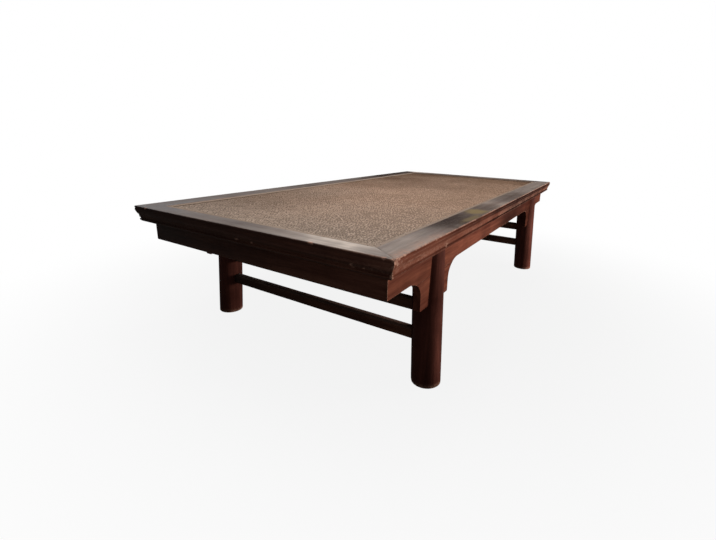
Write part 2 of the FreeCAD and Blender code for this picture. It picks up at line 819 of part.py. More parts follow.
def stretcher(name, height):
    """Left stretcher: a bar with rounded edges, scribed to both round legs, with a tenon at each end."""
    body = body_named(f"stretcher_{name}")
    axis_x, axis_y = leg_axis(height)
    middle = -axis_x
    half_depth = s.stretcher_depth / 2
    half_height = s.stretcher_height / 2
    curve = s.stretcher_round
    nick = curve * (1 - HALFWAY_ROUND_SHARE)
    section = front_sketch(body)
    left, right = middle - half_depth, middle + half_depth
    low, high = height - half_height, height + half_height
    outline(section, [
        (left, high - curve, left + nick, high - nick),
        (left + curve, high),
        (right - curve, high, right - nick, high - nick),
        (right, high - curve),
        (right, low + curve, right - nick, low + nick),
        (right - curve, low),
        (left + curve, low, left + nick, low + nick),
        (left, low + curve),
    ])
    pad(body, section, axis_y * 2, "both")
    foot_x, foot_y = leg_axis(ZERO)
    for side in (-1, 1):
        scribe = flat_sketch(body)
        circle(scribe, -foot_x, foot_y * side, s.leg_diameter)
        lean = (s.leg_lean_end, s.leg_lean_side * -side, s.table_height)
        pocket(body, scribe, s.table_height, lean=lean)
    tenon = front_sketch(body)
    width = s.stretcher_tenon_thickness / 2
    rise = s.stretcher_tenon_height / 2
    rectangle(tenon, middle - width, middle + width, height - rise, height + rise)
    pad(body, tenon, (axis_y + s.stretcher_tenon_reach) * 2, "both")
    return body


def build():
    long_rail("frame_rail_front")
    turned(long_rail("frame_rail_back"))
    end_rail("frame_rail_left")
    turned(end_rail("frame_rail_right"))
    joint_y = inner_half_width / BOARD_COUNT
    panel_board("front", -inner_half_width, -joint_y, 1, -1)
    panel_board("middle", -joint_y, joint_y, 1, 1)
    panel_board("back", joint_y, inner_half_width, -1, 1)
    for name in BATTEN_SIDES:
        batten(name)
    woven_mat()
    long_strip("mat_strip_front")
    turned(long_strip("mat_strip_back"))
    end_strip("mat_strip_left")
    turned(end_strip("mat_strip_right"))
    strip_pins()
    corner_pegs()
    long_apron("apron_front")
    turned(long_apron("apron_back"))
    end_apron("apron_left")
    turned(end_apron("apron_right"))
    spandrel("front_left", -1)
    spandrel("front_right", 1)
    turned(spandrel("back_right", -1))
    turned(spandrel("back_left", 1))
    leg("front_left", -1)
    leg("front_right", 1)
    turned(leg("back_right", -1))
    turned(leg("back_left", 1))
    for level, height in (("upper", s.stretcher_upper), ("lower", s.stretcher_lower)):
        stretcher(f"left_{level}", height)
        turned(stretcher(f"right_{level}", height))


def check():
    """Stop unless every object recomputed well and every piece is one or more whole solids."""
    doc.recompute()
    for thing in doc.Objects:
        if "Invalid" in thing.State or "Error" in thing.State:
            raise RuntimeError(f"{thing.Label}: {thing.State}")
    for piece in pieces:
        shape = piece.Shape
        if shape.isNull() or not shape.isValid() or not shape.Solids:
            raise RuntimeError(f"{piece.Label}: its shape is not whole")


build()
check()
os.makedirs("parts", exist_ok=True)
for piece in pieces:
    piece.Shape.exportStep(f"parts/{piece.Label}.step")
    print(piece.Label, len(piece.Shape.Solids), round(piece.Shape.Volume))
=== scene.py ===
import math

import bmesh
import bpy
import numpy as np
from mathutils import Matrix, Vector


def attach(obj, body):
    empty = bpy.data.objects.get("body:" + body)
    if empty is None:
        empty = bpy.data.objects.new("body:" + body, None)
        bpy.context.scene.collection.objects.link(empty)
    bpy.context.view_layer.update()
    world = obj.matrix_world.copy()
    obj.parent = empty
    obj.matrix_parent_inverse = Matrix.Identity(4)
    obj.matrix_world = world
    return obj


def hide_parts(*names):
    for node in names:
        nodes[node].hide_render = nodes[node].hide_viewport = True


# Kang table: a lacquered frame with a moulded edge round a plaited cane mat,
# on splayed round legs let in round aprons and spandrels.
# X runs along the table, Y across it and Z up. The front is at -Y and the left end at -X.

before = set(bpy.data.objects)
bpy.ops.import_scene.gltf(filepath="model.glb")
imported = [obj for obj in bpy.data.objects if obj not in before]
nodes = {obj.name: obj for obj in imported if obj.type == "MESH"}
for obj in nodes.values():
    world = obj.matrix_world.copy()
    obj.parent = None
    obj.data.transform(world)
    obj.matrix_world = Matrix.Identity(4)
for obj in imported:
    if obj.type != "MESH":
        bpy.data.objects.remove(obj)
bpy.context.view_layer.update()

# The scene is in metres, and the sizes of the table are in millimetres
MM = 0.001

# Sizes of the table, as the solids have them
HALF_LENGTH = 820
HALF_WIDTH = 418
TOP = 400
FRAME_THICKNESS = 44
FRAME_BOTTOM = TOP - FRAME_THICKNESS
LONG_FACE = 68
END_FACE = 50
LEDGE = 22
MOULDING = 13
MITRE_SLOPE = (LONG_FACE - MOULDING) / (END_FACE - MOULDING)
LEDGE_DROP = 8
TONGUE_TOP_DROP = 10.8
TONGUE_FOOT_DROP = 17.2
TONGUE_DEPTH = 8.2
LONG_APRON_GROOVE = (38.8, 45.2)
END_APRON_GROOVE = (42.8, 49.2)
APRON_GROOVE_DEPTH = 6.2
FIELD_HALF_X = 770
FIELD_HALF_Y = 350
MAT_GAP = 0.5
MAT_TOP = 396
STRIP_WIDTH = 11
STRIP_TOP = 399
PIN_RADIUS = 1.2
PIN_INSET = 4.5
LONG_PINS = 15
END_PINS = 7
PEG_RADIUS = 4
PEG_PLACE = (796, 384)
LEG_RADIUS = 38.25
LEG_FOOT = (559, 379.5)
LEG_LEAN = (11, 20)
SLOT = (366.8, 385)
SLOT_FOOT = 220
STRETCHER_HALF = (13, 16)
STRETCHER_ROUND = 9
STRETCHER_HEIGHTS = {"upper": 201, "lower": 123}

# How far each bar stops short of its mitre or end, and how much its end is eased there
MITRE_GAP = 0.25
MITRE_EASE = 0.5

random = np.random.default_rng(12)

# Noise

# What turns a cell of the noise into a number that looks random
CELL_KEYS = np.array([73856093, 19349663, 83492791])
KEY_RANGE = 100003
SEED_STEP = 1000.5
WAVE_STEP = 12.9898
WAVE_HEIGHT = 43758.5453


def lattice_noise(points, scale, seed=0):
    """Smooth noise from -1 to 1 at points in millimetres. The scale is the size of its lumps."""
    p = np.asarray(points, float) / scale + SEED_STEP * (seed + 1)
    cell = np.floor(p).astype(np.int64)
    part = p - cell
    part = part * part * (3 - 2 * part)
    total = np.zeros(len(p))
    for corner in range(8):
        step = np.array([corner & 1, corner >> 1 & 1, corner >> 2 & 1])
        weight = np.prod(np.where(step, part, 1 - part), axis=1)
        key = (cell + step) @ CELL_KEYS
        value = np.sin((key % KEY_RANGE) * WAVE_STEP) * WAVE_HEIGHT
        total += weight * (value - np.floor(value))
    return total * 2 - 1


def rough_noise(points, scale, seed=0):
    """Two sizes of smooth noise added."""
    return lattice_noise(points, scale, seed) * 0.67 + lattice_noise(points, scale / 2.3, seed + 7) * 0.33


# Meshes


def finish_piece(name, mesh, material, stands_for, smooth):
    """Make the object that stands for nodes, with smooth shading up to an angle in degrees."""
    mesh.materials.clear()
    mesh.materials.append(material)
    mesh.shade_smooth()
    mesh.set_sharp_from_angle(angle=math.radians(smooth))
    piece = bpy.data.objects.new(name, mesh)
    bpy.context.scene.collection.objects.link(piece)
    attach(piece, "root")
    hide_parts(*stands_for)


def set_values(mesh, values):
    """Write lists of one number per point as attributes of the mesh."""
    for name, numbers in values.items():
        layer = mesh.attributes.new(name, "FLOAT", "POINT")
        layer.data.foreach_set("value", np.asarray(numbers, np.float32))


def closed_mesh(name, points, faces, values):
    """A mesh from points in millimetres, with its faces turned outwards."""
    mesh = bpy.data.meshes.new(name)
    mesh.from_pydata((np.asarray(points) * MM).tolist(), [], faces)
    set_values(mesh, values)
    shape = bmesh.new()
    shape.from_mesh(mesh)
    bmesh.ops.recalc_face_normals(shape, faces=shape.faces)
    shape.to_mesh(mesh)
    shape.free()
    return mesh


def tube_faces(rings, sides, start=0):
    """Faces between rings of points that follow one another from a first point."""
    faces = []
    for ring in range(rings - 1):
        for step in range(sides):
            a = start + ring * sides + step
            b = start + ring * sides + (step + 1) % sides
            faces.append((a, b, b + sides, a + sides))
    return faces


def arc(start, through, end, count):
    """Points along the arc through three points, with both ends."""
    (ax, ay), (bx, by), (cx, cy) = start, through, end
    square_a, square_b, square_c = (x * x + y * y for x, y in (start, through, end))
    scale = 2 * (ax * (by - cy) + bx * (cy - ay) + cx * (ay - by))
    centre_x = (square_a * (by - cy) + square_b * (cy - ay) + square_c * (ay - by)) / scale
    centre_y = (square_a * (cx - bx) + square_b * (ax - cx) + square_c * (bx - ax)) / scale
    radius = math.hypot(ax - centre_x, ay - centre_y)
    first = math.atan2(ay - centre_y, ax - centre_x)
    middle = (math.atan2(by - centre_y, bx - centre_x) - first) % math.tau
    last = (math.atan2(cy - centre_y, cx - centre_x) - first) % math.tau
    if middle > last:
        last -= math.tau
    angles = [first + last * step / count for step in range(count + 1)]
    return [(centre_x + radius * math.cos(angle), centre_y + radius * math.sin(angle)) for angle in angles]


def outward(section):
    """Outward directions at the points of a closed section."""
    before = np.roll(section, 1, axis=0)
    after = np.roll(section, -1, axis=0)
    along = (section - before) / np.linalg.norm(section - before, axis=1)[:, None]
    along += (after - section) / np.linalg.norm(after - section, axis=1)[:, None]
    normal = np.column_stack([along[:, 1], -along[:, 0]])
    normal /= np.maximum(np.linalg.norm(normal, axis=1), 1e-9)[:, None]
    area = np.sum(section[:, 0] * after[:, 1] - after[:, 0] * section[:, 1])
    return normal if area > 0 else -normal


def stations(half, end_zone, end_step, step):
    """Places along a bar: a share of its middle stretch, and a distance from the end in its end zones."""
    ends = list(np.linspace(0, end_zone, round(end_zone / end_step) + 1))
    shares = np.linspace(-1, 1, round(2 * (half - end_zone) / step) + 1)[1:-1]
    middle = [(share, end_zone) for share in shares]
    return [(-1, s) for s in ends] + middle + [(1, s) for s in reversed(ends)]


def bar(name, section, reach, steps, end_zone, place, shape_values, dents, caps):
    """A bar with a constant section, mitred so that each section point has its own half length.

    The section is in millimetres. place turns (along, a, b) into X, Y and Z, shape_values gives the
    attributes at the points, dents gives how far each point is pressed in, and caps lists the faces
    that close an end as lists of section points.
    """
    section = np.array(section, float)
    normal = outward(section)
    count = len(section)
    rings = []
    for share, from_end in steps:
        whole = reach - MITRE_GAP
        along = share * (whole - end_zone) if abs(share) < 1 else share * (whole - from_end)
        eased = section - normal * (MITRE_EASE if from_end == 0 and abs(share) == 1 else 0)
        rings.append(np.column_stack([along, eased]))
    flat = np.concatenate(rings)
    normals = np.tile(normal, (len(rings), 1))
    number = np.tile(np.arange(count), len(rings))
    from_ends = reach[number] - np.abs(flat[:, 0])
    points = place(flat[:, 0], flat[:, 1], flat[:, 2])
    depth = dents(points, number)
    flat[:, 1:] -= normals * depth[:, None]
    values = shape_values(points, number, from_ends)
    points = place(flat[:, 0], flat[:, 1], flat[:, 2])
    faces = tube_faces(len(rings), count)
    last = (len(rings) - 1) * count
    for loop in caps:
        faces.append(tuple(reversed(loop)))
        faces.append(tuple(last + j for j in loop))
    return closed_mesh(name, points, faces, values)


def set_out(along_x, turn, outer, along, inset, height):
    """Points on one side of the table, from places along it and insets from its outer face."""
    across = (inset - outer) * turn
    if along_x:
        return np.column_stack([along * turn, across, height])
    return np.column_stack([across, along * turn, height])


# Materials


def linear(red, green, blue):
    """A colour as it is seen on a screen, 0 to 255, as the light it stands for."""
    out = []
    for value in (red, green, blue):
        value /= 255
        out.append(value / 12.92 if value <= 0.04045 else ((value + 0.055) / 1.055) ** 2.4)
    return tuple(out)


class Nodes:
    """Short ways to add and join the nodes of a material or of the world."""

    def __init__(self, owner):
        owner.use_nodes = True
        self.owner = owner
        self.tree = owner.node_tree

    def add(self, kind):
        return self.tree.nodes.new("ShaderNode" + kind)

    def set(self, socket, value):
        """Link another node's output, or set a colour or a number."""
        if isinstance(value, bpy.types.NodeSocket):
            self.tree.links.new(value, socket)
        elif hasattr(value, "__len__") and len(value) == 3 and socket.type == "RGBA":
            socket.default_value = (*value, 1)
        else:
            socket.default_value = value

    def place(self):
        """The place on the table or on the floor, in metres."""
        return self.add("TexCoord").outputs["Object"]

    def stretched(self, scale):
        """The place, scaled along each axis."""
        node = self.add("Mapping")
        node.inputs["Scale"].default_value = scale
        self.set(node.inputs["Vector"], self.place())
        return node.outputs["Vector"]

    def noise(self, vector, scale, detail=4.0, roughness=0.55, distortion=0.0):
        node = self.add("TexNoise")
        node.inputs["Scale"].default_value = scale
        node.inputs["Detail"].default_value = detail
        node.inputs["Roughness"].default_value = roughness
        node.inputs["Distortion"].default_value = distortion
        self.set(node.inputs["Vector"], vector)
        return node.outputs["Fac"]

    def ramp(self, value, low, high, start=0.0, end=1.0):
        """A value as a share of the way from low to high, turned into start to end."""
        node = self.add("MapRange")
        self.set(node.inputs["Value"], value)
        for name, number in (("From Min", low), ("From Max", high), ("To Min", start), ("To Max", end)):
            node.inputs[name].default_value = number
        return node.outputs["Result"]

    def mix(self, amount, first, second):
        """Two colours mixed. The Mix node has its colours on sockets 6 and 7, and its result on 2."""
        node = self.add("Mix")
        node.data_type = "RGBA"
        for number, value in ((0, amount), (6, first), (7, second)):
            self.set(node.inputs[number], value)
        return node.outputs[2]

    def maths(self, operation, first, second):
        node = self.add("Math")
        node.operation = operation
        node.use_clamp = True
        self.set(node.inputs[0], first)
        self.set(node.inputs[1], second)
        return node.outputs[0]

    def added(self, first, share, second):
        """A share of the first value and the rest of the second."""
        rest = self.maths("MULTIPLY", second, 1 - share)
        return self.maths("ADD", self.maths("MULTIPLY", first, share), rest)

    def attribute(self, name):
        node = self.add("Attribute")
        node.attribute_name = name
        return node.outputs["Fac"]

    def patchy(self, name, texture, low, high, least, most=1.0):
        """An attribute of the mesh, broken up by a texture."""
        return self.maths("MULTIPLY", self.attribute(name), self.ramp(texture, low, high, least, most))

    def along_table(self, axis, stops):
        """Shares at places along X or Y in millimetres, with straight lines between them."""
        parts = self.add("SeparateXYZ")
        self.set(parts.inputs[0], self.place())
        node = self.add("ValToRGB")
        self.set(node.inputs["Fac"], self.ramp(parts.outputs[axis], -HALF_LENGTH * MM, HALF_LENGTH * MM))
        elements = node.color_ramp.elements
        for number, (place, share) in enumerate(stops):
            position = (place + HALF_LENGTH) / (2 * HALF_LENGTH)
            if number < 2:
                elements[number].position = position
            else:
                elements.new(position)
            elements[number].color = (share, share, share, 1)
        return node.outputs["Color"]

    def finish(self, colour, roughness, gloss, height, depth):
        """Colour and roughness from nodes, the weight of a thin gloss, and bump of a depth in metres."""
        sockets = self.tree.nodes["Principled BSDF"].inputs
        self.set(sockets["Base Color"], colour)
        self.set(sockets["Roughness"], roughness)
        sockets["Specular IOR Level"].default_value = 0
        sockets["Coat Weight"].default_value = gloss
        sockets["Coat Roughness"].default_value = COAT_ROUGHNESS
        bump = self.add("Bump")
        bump.inputs["Distance"].default_value = depth
        self.set(bump.inputs["Height"], height)
        self.set(sockets["Normal"], bump.outputs["Normal"])
        return self.owner


# How the place is scaled so that a grain runs along an axis
ALONG = {"x": (0.06, 1, 1), "y": (1, 0.06, 1), "z": (1, 1, 0.06)}

# Colours of the lacquer on the long sides, the ends and the legs
LACQUER_DARK = linear(95, 49, 38)
LACQUER_LIGHT = linear(150, 89, 69)
LACQUER_DEEP = linear(48, 20, 15)
END_DARK = linear(98, 58, 47)
END_LIGHT = linear(154, 104, 86)
LEG_DARK = linear(66, 36, 31)
LEG_LIGHT = linear(116, 67, 57)

# Colours of what lies on the lacquer, or shows through it, among them painted sheen on the tops, a painted
# highlight and painted shade
BARE_WOOD = linear(192, 148, 128)
FADED_SHEEN_DARK = linear(126, 114, 107)
FADED_SHEEN_LIGHT = linear(154, 143, 135)
ASH = linear(136, 137, 139)
STAIN = linear(50, 38, 34)
PALE_SCUFF_AND_HIGHLIGHT = linear(218, 205, 194)
OLIVE = linear(130, 113, 78)
GRIME_AND_SHADE = linear(38, 17, 12)
DUST_AND_SHADE = linear(62, 42, 35)
# painted shade for the ends' lacquer
END_SHADOW = linear(34, 27, 23)

# Colours of the boards and battens, the mat and the strips
BOARD_DARK = linear(92, 66, 46)
BOARD_LIGHT = linear(138, 104, 74)
BATTEN_DARK = linear(84, 60, 42)
BATTEN_LIGHT = linear(126, 94, 66)
MAT_DARK = linear(148, 117, 97)
MAT_LIGHT = linear(220, 188, 163)
STRIP_DARK = linear(82, 70, 58)
STRIP_LIGHT = linear(122, 106, 90)
CANE_CLOUD = linear(140, 118, 104)
CANE_SOIL = linear(110, 84, 66)
CANE_GREY = linear(188, 172, 158)
CANE_DIRT_AND_SHADE = linear(62, 46, 34)

# The weight of the thin gloss on each material, and the depth of its grain in metres
COAT_ROUGHNESS = 0.32
LACQUER_GLOSS = 0.025
LACQUER_GRAIN_DEPTH = 0.0005
WOOD_GLOSS = 0.06
WOOD_GRAIN_DEPTH = 0.0007
CANE_GLOSS = 0.03
CANE_GRAIN_DEPTH = 0.00015

# How dark the lacquer of the long sides and of the legs is along X, and that of the ends along Y, which on
# the ends is painted shade
LONG_SHADE = [(-800, 0.1), (-530, 0.15), (-430, 0.05), (-260, 0.0), (-100, 0.3), (60, 0.85),
              (220, 0.9), (420, 0.65), (520, 0.78), (600, 0.7), (780, 0.5)]
LEG_SHADE = [(-600, 0.2), (600, 0.0)]
END_SHADE = [(-400, 0.15), (-100, 0.45), (350, 0.85)]


def lacquer(name, grain, dark, light, shade_axis, shade, shade_colour, dirt_and_shade):
    """Old lacquered wood. The mesh says where it is worn, faded and grey with painted sheen, stained, grimy
    and darkened with painted shade, or scuffed pale with a painted highlight.
    """
    n = Nodes(bpy.data.materials.new(name))
    long = n.stretched(ALONG[grain])
    broad = n.noise(long, 62.0, 5.0, 0.6, 0.4)
    fine = n.noise(long, 420.0, 3.0, 0.6)
    clouds = n.noise(n.place(), 7.0, 3.0, 0.6)
    flecks = n.noise(n.place(), 140.0, 4.0, 0.7)
    body = n.mix(n.ramp(broad, 0.3, 0.7), dark, light)
    body = n.mix(n.ramp(clouds, 0.44, 0.7, 0.0, 0.5), body, LACQUER_DEEP)
    body = n.mix(n.ramp(fine, 0.45, 0.72, 0.0, 0.22), body, LACQUER_DEEP)
    # darker along the table by the shade stops; on the ends this is painted shade
    body = n.mix(n.along_table(shade_axis, shade), body, shade_colour)
    # darker in the mouldings' hollows: dirt, and painted shade under the arris, band and bead
    body = n.mix(n.patchy("grime", flecks, 0.3, 0.6, 0.75), body, dirt_and_shade)
    # The tops' faded grey also stands for painted sheen, the reflected light on them
    faded_and_sheen = n.mix(n.ramp(n.noise(long, 30.0, 5.0, 0.65), 0.38, 0.62), FADED_SHEEN_DARK, FADED_SHEEN_LIGHT)
    ash = n.mix(n.ramp(broad, 0.3, 0.7, 0.0, 0.5), ASH, FADED_SHEEN_DARK)
    faded_and_sheen = n.mix(n.attribute("ash"), faded_and_sheen, ash)
    faded_and_sheen = n.mix(n.ramp(fine, 0.42, 0.7, 0.0, 0.28), faded_and_sheen, LACQUER_DARK)
    body = n.mix(n.attribute("fade"), body, faded_and_sheen)
    body = n.mix(n.patchy("stain", flecks, 0.3, 0.5, 0.75), body, STAIN)
    body = n.mix(n.attribute("olive"), body, OLIVE)
    # pale scuffs, which near the near corner are also a painted highlight
    body = n.mix(n.patchy("scuff", broad, 0.32, 0.6, 0.3), body, PALE_SCUFF_AND_HIGHLIGHT)
    body = n.mix(n.patchy("wear", flecks, 0.36, 0.6, 0.0, 1.6), body, BARE_WOOD)
    rough = n.ramp(n.noise(n.place(), 26.0, 4.0, 0.65), 0.3, 0.7, 0.34, 0.5)
    rough = n.maths("ADD", rough, n.maths("MULTIPLY", n.attribute("fade"), 0.14))
    return n.finish(body, rough, LACQUER_GLOSS, n.added(broad, 0.7, fine), LACQUER_GRAIN_DEPTH)


def bare_wood(name, grain, dark, light):
    """Plain wood without lacquer, for what lies under the mat."""
    n = Nodes(bpy.data.materials.new(name))
    long = n.stretched(ALONG[grain])
    broad = n.noise(long, 45.0, 6.0, 0.62, 0.6)
    fine = n.noise(long, 350.0, 3.0, 0.6)
    body = n.mix(n.ramp(broad, 0.35, 0.65), dark, light)
    body = n.mix(n.ramp(fine, 0.5, 0.75, 0.0, 0.4), body, dark)
    body = n.mix(n.maths("MULTIPLY", n.attribute("wear"), 0.4), body, light)
    rough = n.ramp(broad, 0.3, 0.7, 0.6, 0.78)
    return n.finish(body, rough, WOOD_GLOSS, n.added(broad, 0.6, fine), WOOD_GRAIN_DEPTH)


def cane(name, dark, light, grain=None):
    """Split cane or bamboo. tone is each strand's own shade, and low marks the dips, darkened for dirt and
    with painted shade.
    """
    n = Nodes(bpy.data.materials.new(name))
    place = n.stretched(ALONG[grain]) if grain else n.place()
    clouds = n.noise(n.place(), 4.2, 3.0, 0.55)
    fibre = n.noise(place, 900.0 if grain else 600.0, 2.0, 0.5)
    tone = n.ramp(n.attribute("tone"), 0.0, 1.0, 0.0, 0.6)
    tone = n.maths("ADD", tone, n.ramp(fibre, 0.35, 0.65, 0.0, 0.4))
    body = n.mix(tone, dark, light)
    body = n.mix(n.ramp(clouds, 0.40, 0.62, 0.0, 0.25), body, CANE_CLOUD)
    body = n.mix(n.attribute("soil"), body, CANE_SOIL)
    body = n.mix(n.attribute("grey"), body, CANE_GREY)
    # the dips are darkened for dirt and with painted shade
    body = n.mix(n.attribute("low"), body, CANE_DIRT_AND_SHADE)
    rough = n.ramp(fibre, 0.3, 0.7, 0.46, 0.62)
    return n.finish(body, rough, CANE_GLOSS, fibre, CANE_GRAIN_DEPTH)


wood = {
    "x": lacquer("lacquer_along_x", "x", LACQUER_DARK, LACQUER_LIGHT, "X", LONG_SHADE, GRIME_AND_SHADE, GRIME_AND_SHADE),
    "y": lacquer("lacquer_along_y", "y", END_DARK, END_LIGHT, "Y", END_SHADE, END_SHADOW, DUST_AND_SHADE),
    "z": lacquer("lacquer_upright", "z", LEG_DARK, LEG_LIGHT, "X", LEG_SHADE, GRIME_AND_SHADE, GRIME_AND_SHADE),
}
board_wood = bare_wood("bare_board", "x", BOARD_DARK, BOARD_LIGHT)
batten_wood = bare_wood("bare_batten", "y", BATTEN_DARK, BATTEN_LIGHT)
mat_cane = cane("mat_cane", MAT_DARK, MAT_LIGHT)
strip_cane = {axis: cane(f"strip_cane_{axis}", STRIP_DARK, STRIP_LIGHT, axis) for axis in "xy"}

# Frame rails

GROOVE_TOP_DROP = FRAME_THICKNESS - APRON_GROOVE_DEPTH
INNER_EASE = 0.8
TOP_STEP = 5


def moulded_section(face, width, groove):
    """Section of a rail as (inset, drop), from the inner edge of its top round by the moulding to the ledge.

    With it come the wear and the fading of each point (the faded grey of the top is also painted sheen), and
    where the moulding starts on top and ends below.
    """
    points, wear, fade = [], [], []

    def add(places, worn=0.0, faded_and_sheen=0.0):
        points.extend(places)
        wear.extend([worn] * len(places))
        fade.extend([faded_and_sheen] * len(places))

    # inner edge and top
    add([(face, LEDGE_DROP), (face, 1.3)], 0.0, 0.6)
    add([(face - 0.3, 0.55), (face - 0.9, 0.12)], 0.35, 1.0)
    top = np.linspace(face - 1.6, MOULDING, round((face - MOULDING) / TOP_STEP))
    add([(inset, 0.0) for inset in top], 0.0, 1.0)
    bend = len(points) - 1
    add([(8.5, 0.0), (4.5, 0.0)], 0.0, 1.0)
    # thin arris, rounded band, flat, groove and bead
    add([(2.4, 0.0), (1.95, 0.08), (1.55, 0.3)], 0.7, 0.9)
    add([(1.27, 0.68), (1.12, 1.15)], 1.0, 0.3)
    add([(0.9, 2.2)], 0.35)
    add(arc((0.78, 3.08), (1.69, 5.94), (0.55, 8.8), 6))
    wear[-1] = 0.3
    band = arc((0.55, 8.8), (2.8, 17.3), (6.9, 25.0), 11)[1:]
    # the lower band and the flat below it are lightened as worn and as a painted highlight where the light
    # falls
    add(band[:5], 0.08)
    add(band[5:], 0.45)
    add([(7.3, 28.5), (7.6, 32.0)], 0.45)
    add([(9.2, 32.9), (9.2, 35.7)])
    add(arc((7.5, 36.6), (8.5, 40.6), (MOULDING, FRAME_THICKNESS), 9), 0.2)
    corner = len(points) - 1
    # underside with the aprons' groove, then the inner face with the boards' groove
    near, far = groove
    add([(near, FRAME_THICKNESS), (near, GROOVE_TOP_DROP)])
    add([(far, GROOVE_TOP_DROP), (far, FRAME_THICKNESS)])
    add([(width - INNER_EASE, FRAME_THICKNESS), (width, FRAME_THICKNESS - INNER_EASE)])
    add([(width, TONGUE_FOOT_DROP), (width - TONGUE_DEPTH, TONGUE_FOOT_DROP)])
    add([(width - TONGUE_DEPTH, TONGUE_TOP_DROP), (width, TONGUE_TOP_DROP)])
    add([(width, LEDGE_DROP)])
    return np.array(points), np.array(wear), np.array(fade), bend, corner


def seam(inset, slope):
    """How far the mitre lies from the end of the table at an inset from the outer face."""
    return np.where(inset < MOULDING, inset, MOULDING + (inset - MOULDING) * slope)


# The corner nearest the camera is worn most, within this reach of it
NEAR_CORNER = np.array([-HALF_LENGTH, -HALF_WIDTH, TOP])
NEAR_REACH = 260

# Chips in the arris and the mouldings: X, Y, Z, how wide and how deep
NEAR_CHIPS = [
    (-817, -417, 399, 6, 1.5),
    (-800, -418, 398, 5, 0.8),
    (-778, -418, 399, 4, 0.7),
    (-818, -395, 399, 5, 0.8),
    (-818, -418, 384, 6, 1.2),
    (-811, -418, 393, 7, 0.7),
    (-804, -418, 387, 6, 0.5),
    (-812, -417, 378, 6, 0.5),
    (-790, -418, 386, 5, 0.6),
    (-812, -411, 366, 6, 1.4),
    (-735, -418, 399, 4, 0.6),
    (-640, -418, 399, 5, 0.7),
    (-560, -412, 368, 6, 0.8),
]
RANDOM_CHIPS = 34

# Where random chips lie: the inset and the height of the arris and of the bead
CHIP_EDGES = [(0.5, TOP - 1), (7, TOP - 32)]


def random_chips():
    """Small dents along the arris and the bead of all four sides."""
    chips = []
    for _ in range(RANDOM_CHIPS):
        side, share, edge = random.integers(4), random.uniform(-0.97, 0.97), random.integers(2)
        inset, height = CHIP_EDGES[edge]
        size, depth = random.uniform(3.5, 7), random.uniform(0.25, 0.7)
        if side < 2:
            chips.append((share * HALF_LENGTH, (HALF_WIDTH - inset) * (1 - 2 * side), height, size, depth))
        else:
            chips.append(((HALF_LENGTH - inset) * (5 - 2 * side), share * HALF_WIDTH, height, size, depth))
    return chips


CHIPS = NEAR_CHIPS + random_chips()

# How worn each rail's moulding is
SIDE_WEAR = {"frame_front": 0.55, "frame_back": 0.4, "frame_left": 0.1, "frame_right": 0.3}

# The rails' tops from one end to the other: place, then how stained, how scuffed pale (partly a painted
# highlight) and how ash grey they are there
TOP_TONES = {
    "frame_front": [
        (-790, 0, 0.1, 0.2), (-680, 0, 0.12, 0.1), (-600, 0.25, 0, 0.2), (-560, 0.5, 0, 0.2),
        (-520, 0.85, 0, 0.1), (-430, 1, 0, 0), (-370, 0.8, 0, 0), (-320, 0.6, 0, 0),
        (-240, 0.6, 0, 0), (-200, 0.55, 0, 0), (-130, 0.35, 0, 0), (-80, 0.05, 0, 0),
        (0, 0.5, 0, 0.2), (130, 0.68, 0, 0), (220, 0.55, 0, 0), (310, 0.28, 0, 0.2),
        (440, 0.26, 0, 0.1), (620, 0.1, 0, 0.1), (800, 0.05, 0, 0.3),
    ],
    "frame_back": [
        (-760, 0.05, 0, 1), (-550, 0.3, 0, 0.5), (-350, 0.22, 0, 0.4), (-150, 0.6, 0, 0.3),
        (50, 0.35, 0, 0.3), (250, 0.6, 0, 0.3), (450, 1, 0, 0.3), (650, 1, 0, 0),
    ],
    "frame_left": [
        (-400, 0, 0.05, 0.3), (-350, 0, 0.25, 0.3), (-310, 0, 0.8, 0.3), (-220, 0, 0.65, 0.3),
        (-160, 0, 0.2, 0.3), (-60, 0.1, 0, 0.4), (20, 0.25, 0, 0.5), (100, 0.08, 0, 0.5),
        (260, 0.05, 0, 0.9), (400, 0.05, 0, 1),
    ],
    "frame_right": [
        (-400, 0.55, 0, 0.5), (-330, 0.55, 0, 0.5), (-250, 0.3, 0, 0), (-50, 0.25, 0, 0),
        (50, 0.9, 0, 0), (150, 0.65, 0, 0), (250, 0.35, 0, 0), (350, 0, 0.35, 0),
    ],
}

# Olive patches on the front rail's top: X, Y, half sizes along X and Y, and strength
OLIVE_PATCHES = [(-275, -385, 60, 40, 0.8), (-380, -405, 90, 16, 0.5)]

# Where the mouldings are darkened for dirt and with painted shade in the cove and under the band and bead:
# drops below the top, and how much at each
LONG_GRIME_AND_SHADE = ([1.6, 2.8, 13.5, 17.5, 31.0, 32.5, 37.0, 39.0], [0, 1, 1, 0, 0, 1, 1, 0])
END_GRIME_AND_SHADE = ([2.0, 3.5, 8.0, 10.0, 24.0, 26.0, 31.0, 32.5, 38.0, 40.0],
             [0, 0.4, 0.4, 0, 0, 0.85, 0.85, 0, 0, 0.7])

# How much of that darkening the long mouldings have along X
GRIME_AND_SHADE_ALONG = ([-800, -520, -330, -100], [0.1, 0.5, 0.65, 1.0])

# The deepest wear of the mouldings, and the deepest waves of the top
WORN_DENT = 0.35
TOP_WAVE = 0.12

# The rings of a rail stand close together in its end zones
RAIL_END_ZONE = 60
RAIL_END_STEP = 3
RAIL_STEP = 6

# How deep a long rail's groove still is past the aprons' corner, and how far past it that starts
CLOSED_GROOVE = 0.3
PAST_CORNER = 2


def chip_depth(points):
    """How deep the chips are at the points."""
    depth = np.zeros(len(points))
    for x, y, z, size, deep in CHIPS:
        away = np.linalg.norm((points - (x, y, z)) / size, axis=1)
        depth = np.maximum(depth, deep * np.clip(1.2 - away, 0, 1))
    return depth


